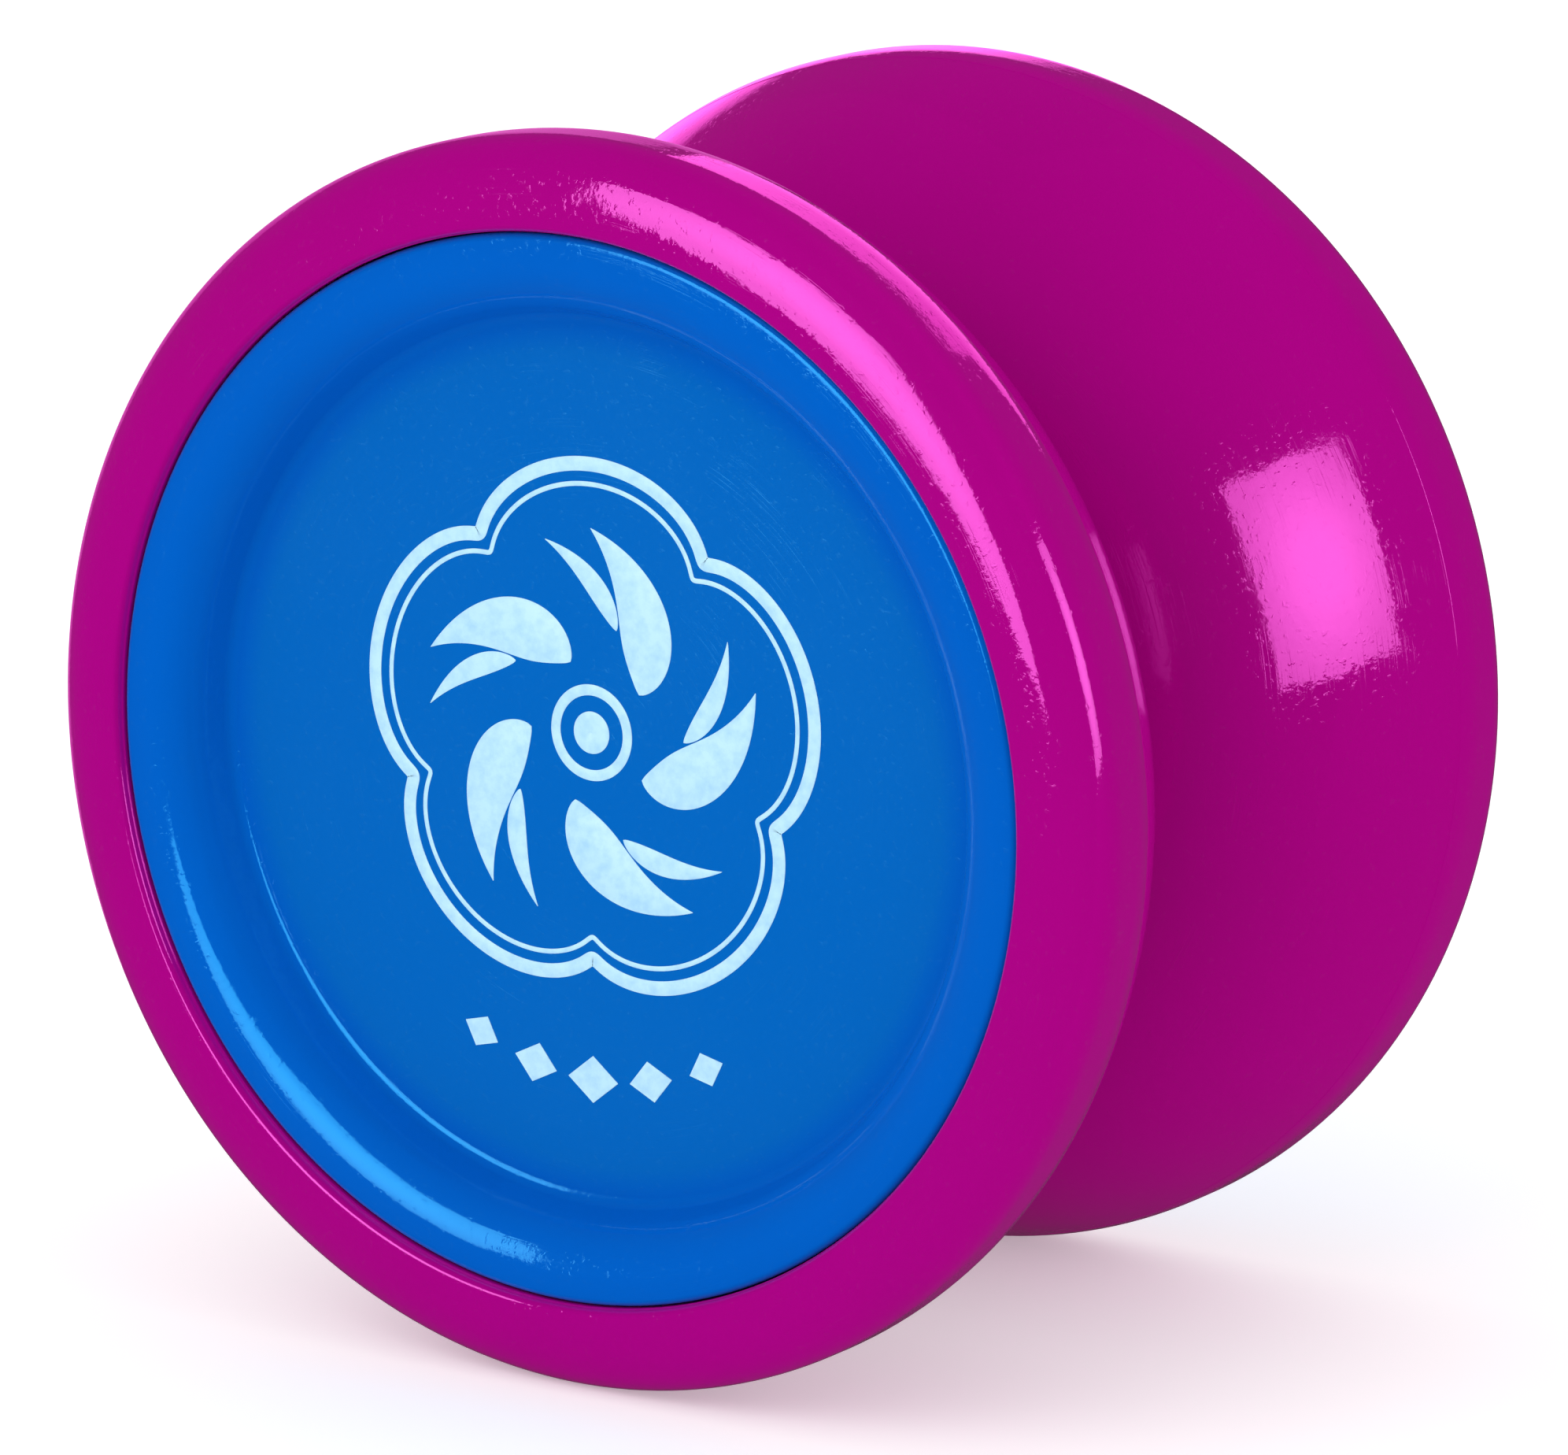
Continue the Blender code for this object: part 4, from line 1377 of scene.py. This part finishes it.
    def ball(self, number: int) -> Surface:
        """A ball: middle + R (sin p cos q, cos p, sin p sin q), with p from pole to pole."""
        angle = math.tau * (number + 0.5) / self.balls
        middle = np.array([self.pitch_radius * math.cos(angle), 0.0, self.pitch_radius * math.sin(angle)])
        p = np.linspace(0, math.pi, 25)[:, None]
        q = math.tau * np.arange(48)[None, :] / 48
        grid = np.stack(np.broadcast_arrays(np.sin(p) * np.cos(q), np.cos(p), np.sin(p) * np.sin(q)), axis=-1)
        return between_poles(middle + self.ball_radius * grid)

    def build(self, finishes: Finishes) -> None:
        """Makes the bearing's fifteen pieces.

        Args:
            finishes: the finishes to dress them in.
        """
        inner = self.inner_ring().piece("inner_race")
        fit(inner, finishes.ground, "rear_half", "bearing_steel", "bearing_inner_ring")
        outer = self.outer_ring().piece("outer_race")
        fit(outer, finishes.ground, "bearing_outer", "bearing_steel", "bearing_outer_ring")
        shield = self.shield()
        clip = self.clip()
        for side in Side:
            washer = shield.facing(side).piece(f"{side.value}_shield_washer")
            fit(washer, finishes.plated, "bearing_outer", "bearing_steel", f"{side.value}_bearing_shield")
            wire = clip.facing(side).piece(f"{side.value}_snap_wire")
            fit(wire, finishes.ground, "bearing_outer", "bearing_steel", f"{side.value}_shield_clip")
        fit(self.cage().piece("crown_cage"), finishes.brass, "bearing_balls", "cage", "bearing_cage")
        for number in range(self.balls):
            ball = self.ball(number).piece(f"steel_ball_{number + 1}")
            fit(ball, finishes.polished, "bearing_balls", "ball", f"ball_{number + 1}")


# ---------------------------------------------------------------- studio


@dataclass(frozen=True)
class Softbox:
    """A soft lamp, by the direction that it stands in and how wide it looks from the toy.

    Azimuth 0 is the -Y side, growing towards +X, as for the camera.
    """

    name: str
    azimuth: float  # degrees
    elevation: float  # degrees
    width: float  # degrees
    height: float  # degrees
    radiance: float
    lights_matt: bool = True
    hot: float = 1.0  # brightness of the cloth's edge beside its middle's
    gel: Colour = (1.0, 1.0, 1.0)  # the colour of the sheet in front of the cloth
    only: tuple[str, ...] = ()  # the pieces that the lamp shines on, if it is flagged off the rest
    roll: float = 0.0  # degrees
    distance: float = 0.8  # metres

    def cloth(self, data: bpy.types.AreaLight) -> None:
        """Makes the lamp's cloth brightest in its middle.

        The strength falls from 1 to the edge's brightness with the distance from the middle.

        Args:
            data: the lamp.
        """
        data.use_nodes = True
        nodes, links = data.node_tree.nodes, data.node_tree.links
        place = nodes.new("ShaderNodeTexCoord")
        reach = nodes.new("ShaderNodeVectorMath")
        reach.operation = "DISTANCE"
        reach.inputs[1].default_value = (0.5, 0.5, 0.0)
        falloff = nodes.new("ShaderNodeMapRange")
        falloff.interpolation_type = "SMOOTHSTEP"
        for name, value in zip(MAP_RANGE_SOCKETS, (HOT_START, HOT_END, 1.0, self.hot)):
            falloff.inputs[name].default_value = value
        links.new(place.outputs["UV"], reach.inputs[0])
        links.new(reach.outputs["Value"], falloff.inputs["Value"])
        links.new(falloff.outputs[0], nodes["Emission"].inputs["Strength"])


def towards(azimuth: float, elevation: float) -> Vector:
    """The unit direction from the toy towards an azimuth and an elevation, in degrees."""
    a, e = math.radians(azimuth), math.radians(elevation)
    return Vector((math.sin(a) * math.cos(e), -math.cos(a) * math.cos(e), math.sin(e)))


@dataclass(frozen=True)
class Studio:
    """The pale floor, the soft lamps and the camera.

    Most of the highlight lamps are linked to one or two pieces and light nothing else. That isn't
    how a plain studio works: it puts each highlight where it is wanted in the front view.
    """

    toy_radius: float
    azimuth: float = 33.98
    elevation: float = 12.6
    distance: float = 14.41  # of the camera, in toy radii
    aside: float = -0.006  # where the toy's middle lies in the view, in toy radii
    above: float = 0.0395
    lens: float = 204.8
    sensor: float = 36.0
    floor_size: float = 6.0
    floor_lines: int = 9
    near_limit: float = 0.01  # the camera sees nothing nearer than this, in metres
    sky: float = 0.85
    sky_in_gloss: float = 0.045
    lamps: tuple[Softbox, ...] = field(
        default=(
            Softbox("side_box", 68.0, 15.0, 36.0, 35.0, 9.4, False, hot=0.6, roll=10.0, only=REAR_SHELL),
            Softbox("streak_box", 79.0, 15.0, 22.0, 33.0, 8.6, False, hot=0.6, roll=10.0, only=FRONT_SHELL),
            Softbox("face_box", -16.0, 12.0, 32.0, 35.0, 9.6, False, hot=0.7),
            Softbox("lip_box", -170.0, 27.0, 36.0, 20.0, 3.2, False, gel=PINK_GEL, only=FRONT_SHELL),
            Softbox(
                "rear_rim_box", -135.0, 8.0, 40.0, 28.0, 2.9, False, hot=0.3, gel=PINK_GEL, only=REAR_SHELL
            ),
            Softbox("dish_box", -108.0, 14.0, 30.0, 22.0, 1.5, False, hot=0.3, only=FRONT_CAP),
            Softbox("haze_box", -130.0, 0.0, 46.0, 40.0, 0.8, False, gel=PINK_GEL, only=BOTH_SHELLS),
            Softbox("key", -10.0, 40.0, 45.0, 35.0, 1.0, True),
            Softbox("fill", 105.0, 24.0, 45.0, 35.0, 0.5, True),
        )
    )

    def floor(self, finishes: Finishes) -> None:
        """Lays the floor under the rims, a flat grid that reaches past the view on every side."""
        edge = np.linspace(-self.floor_size / 2, self.floor_size / 2, self.floor_lines)
        x, y = np.meshgrid(edge, edge, indexing="xy")
        grid = np.stack([x, y, np.full_like(x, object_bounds()[0][2])], axis=-1)
        mesh = bpy.data.meshes.new("studio_floor")
        squares = woven(self.floor_lines, self.floor_lines, False, False)
        mesh.from_pydata(grid.reshape(-1, 3).tolist(), [], squares.tolist())
        mesh.update()
        mesh.materials.append(finishes.paint)
        floor = bpy.data.objects.new("studio_floor", mesh)
        bpy.context.scene.collection.objects.link(floor)
        floor.visible_glossy = False
        floor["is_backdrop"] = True

    def light(self) -> None:
        """Hangs the lamps, and lights the room evenly, dimmer as the gloss sees it."""
        for box in self.lamps:
            data = bpy.data.lights.new(box.name, "AREA")
            data.shape = "RECTANGLE"
            data.size = 2 * box.distance * math.tan(math.radians(box.width) / 2)
            data.size_y = 2 * box.distance * math.tan(math.radians(box.height) / 2)
            data.energy = box.radiance * math.pi * data.size * data.size_y
            box.cloth(data)
            lamp = bpy.data.objects.new(box.name, data)
            data.color = box.gel
            if box.only:
                lit = bpy.data.collections.new(f"lit_by_{box.name}")
                for name in box.only:
                    lit.objects.link(bpy.data.objects[name])
                lamp.light_linking.receiver_collection = lit
            direction = towards(box.azimuth, box.elevation)
            lamp.location = direction * box.distance
            lamp.rotation_euler = direction.to_track_quat("Z", "Y").to_euler()
            lamp.rotation_euler.rotate_axis("Z", math.radians(box.roll))
            lamp.visible_camera = False
            lamp.visible_diffuse = box.lights_matt
            lamp.visible_glossy = not box.lights_matt
            bpy.context.scene.collection.objects.link(lamp)

        world = bpy.data.worlds.new("studio_room")
        world.use_nodes = True
        nodes, links = world.node_tree.nodes, world.node_tree.links
        path = nodes.new("ShaderNodeLightPath")
        level = nodes.new("ShaderNodeMapRange")
        level.inputs["To Min"].default_value = self.sky
        level.inputs["To Max"].default_value = self.sky_in_gloss
        links.new(path.outputs["Is Glossy Ray"], level.inputs["Value"])
        links.new(level.outputs[0], nodes["Background"].inputs["Strength"])
        nodes["Background"].inputs["Color"].default_value = (1.0, 1.0, 1.0, 1.0)
        bpy.context.scene.world = world

    def camera(self) -> None:
        """Stands the camera where the toy's middle falls a little beside and above the view's."""
        back = towards(self.azimuth, self.elevation)
        right = Vector((math.cos(math.radians(self.azimuth)), math.sin(math.radians(self.azimuth)), 0.0))
        up = back.cross(right)
        data = bpy.data.cameras.new("camera")
        data.lens = self.lens
        data.sensor_width = self.sensor
        data.clip_start = self.near_limit
        camera = bpy.data.objects.new("camera", data)
        camera.location = (back * self.distance - right * self.aside - up * self.above) * self.toy_radius
        camera.rotation_euler = back.to_track_quat("Z", "Y").to_euler()
        bpy.context.scene.collection.objects.link(camera)
        bpy.context.scene.camera = camera

    def build(self, finishes: Finishes) -> None:
        """Sets up the floor, the lamps and the camera.

        Args:
            finishes: the finishes, for the floor's paint.
        """
        self.floor(finishes)
        self.light()
        self.camera()
        bpy.context.scene.view_settings.view_transform = "Standard"
        log.info("studio: %d lamps", len(self.lamps))


def main() -> None:
    """Builds the yo-yo and its studio."""
    logging.basicConfig(level=logging.INFO, format="%(name)s: %(message)s")
    frame_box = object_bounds()
    rim_radius = frame_box[1][0]
    finishes = Finishes()
    shell = Shell(rim_radius=rim_radius, half_width=frame_box[1][1])
    cap = Cap(
        radius=shell.seat_radius - shell.cap_fit,
        seam=shell.seam,
        skirt_depth=shell.skirt_depth,
        snap_to_foot=shell.snap_to_foot,
        snap_height=shell.snap_height,
    )
    for part in (shell, cap, Emblem(cap.face), ResponsePads(), Axle(), Bearing(), Studio(rim_radius)):
        part.build(finishes)
        log.info("%s done", type(part).__name__)


if __name__ == "__main__":
    main()
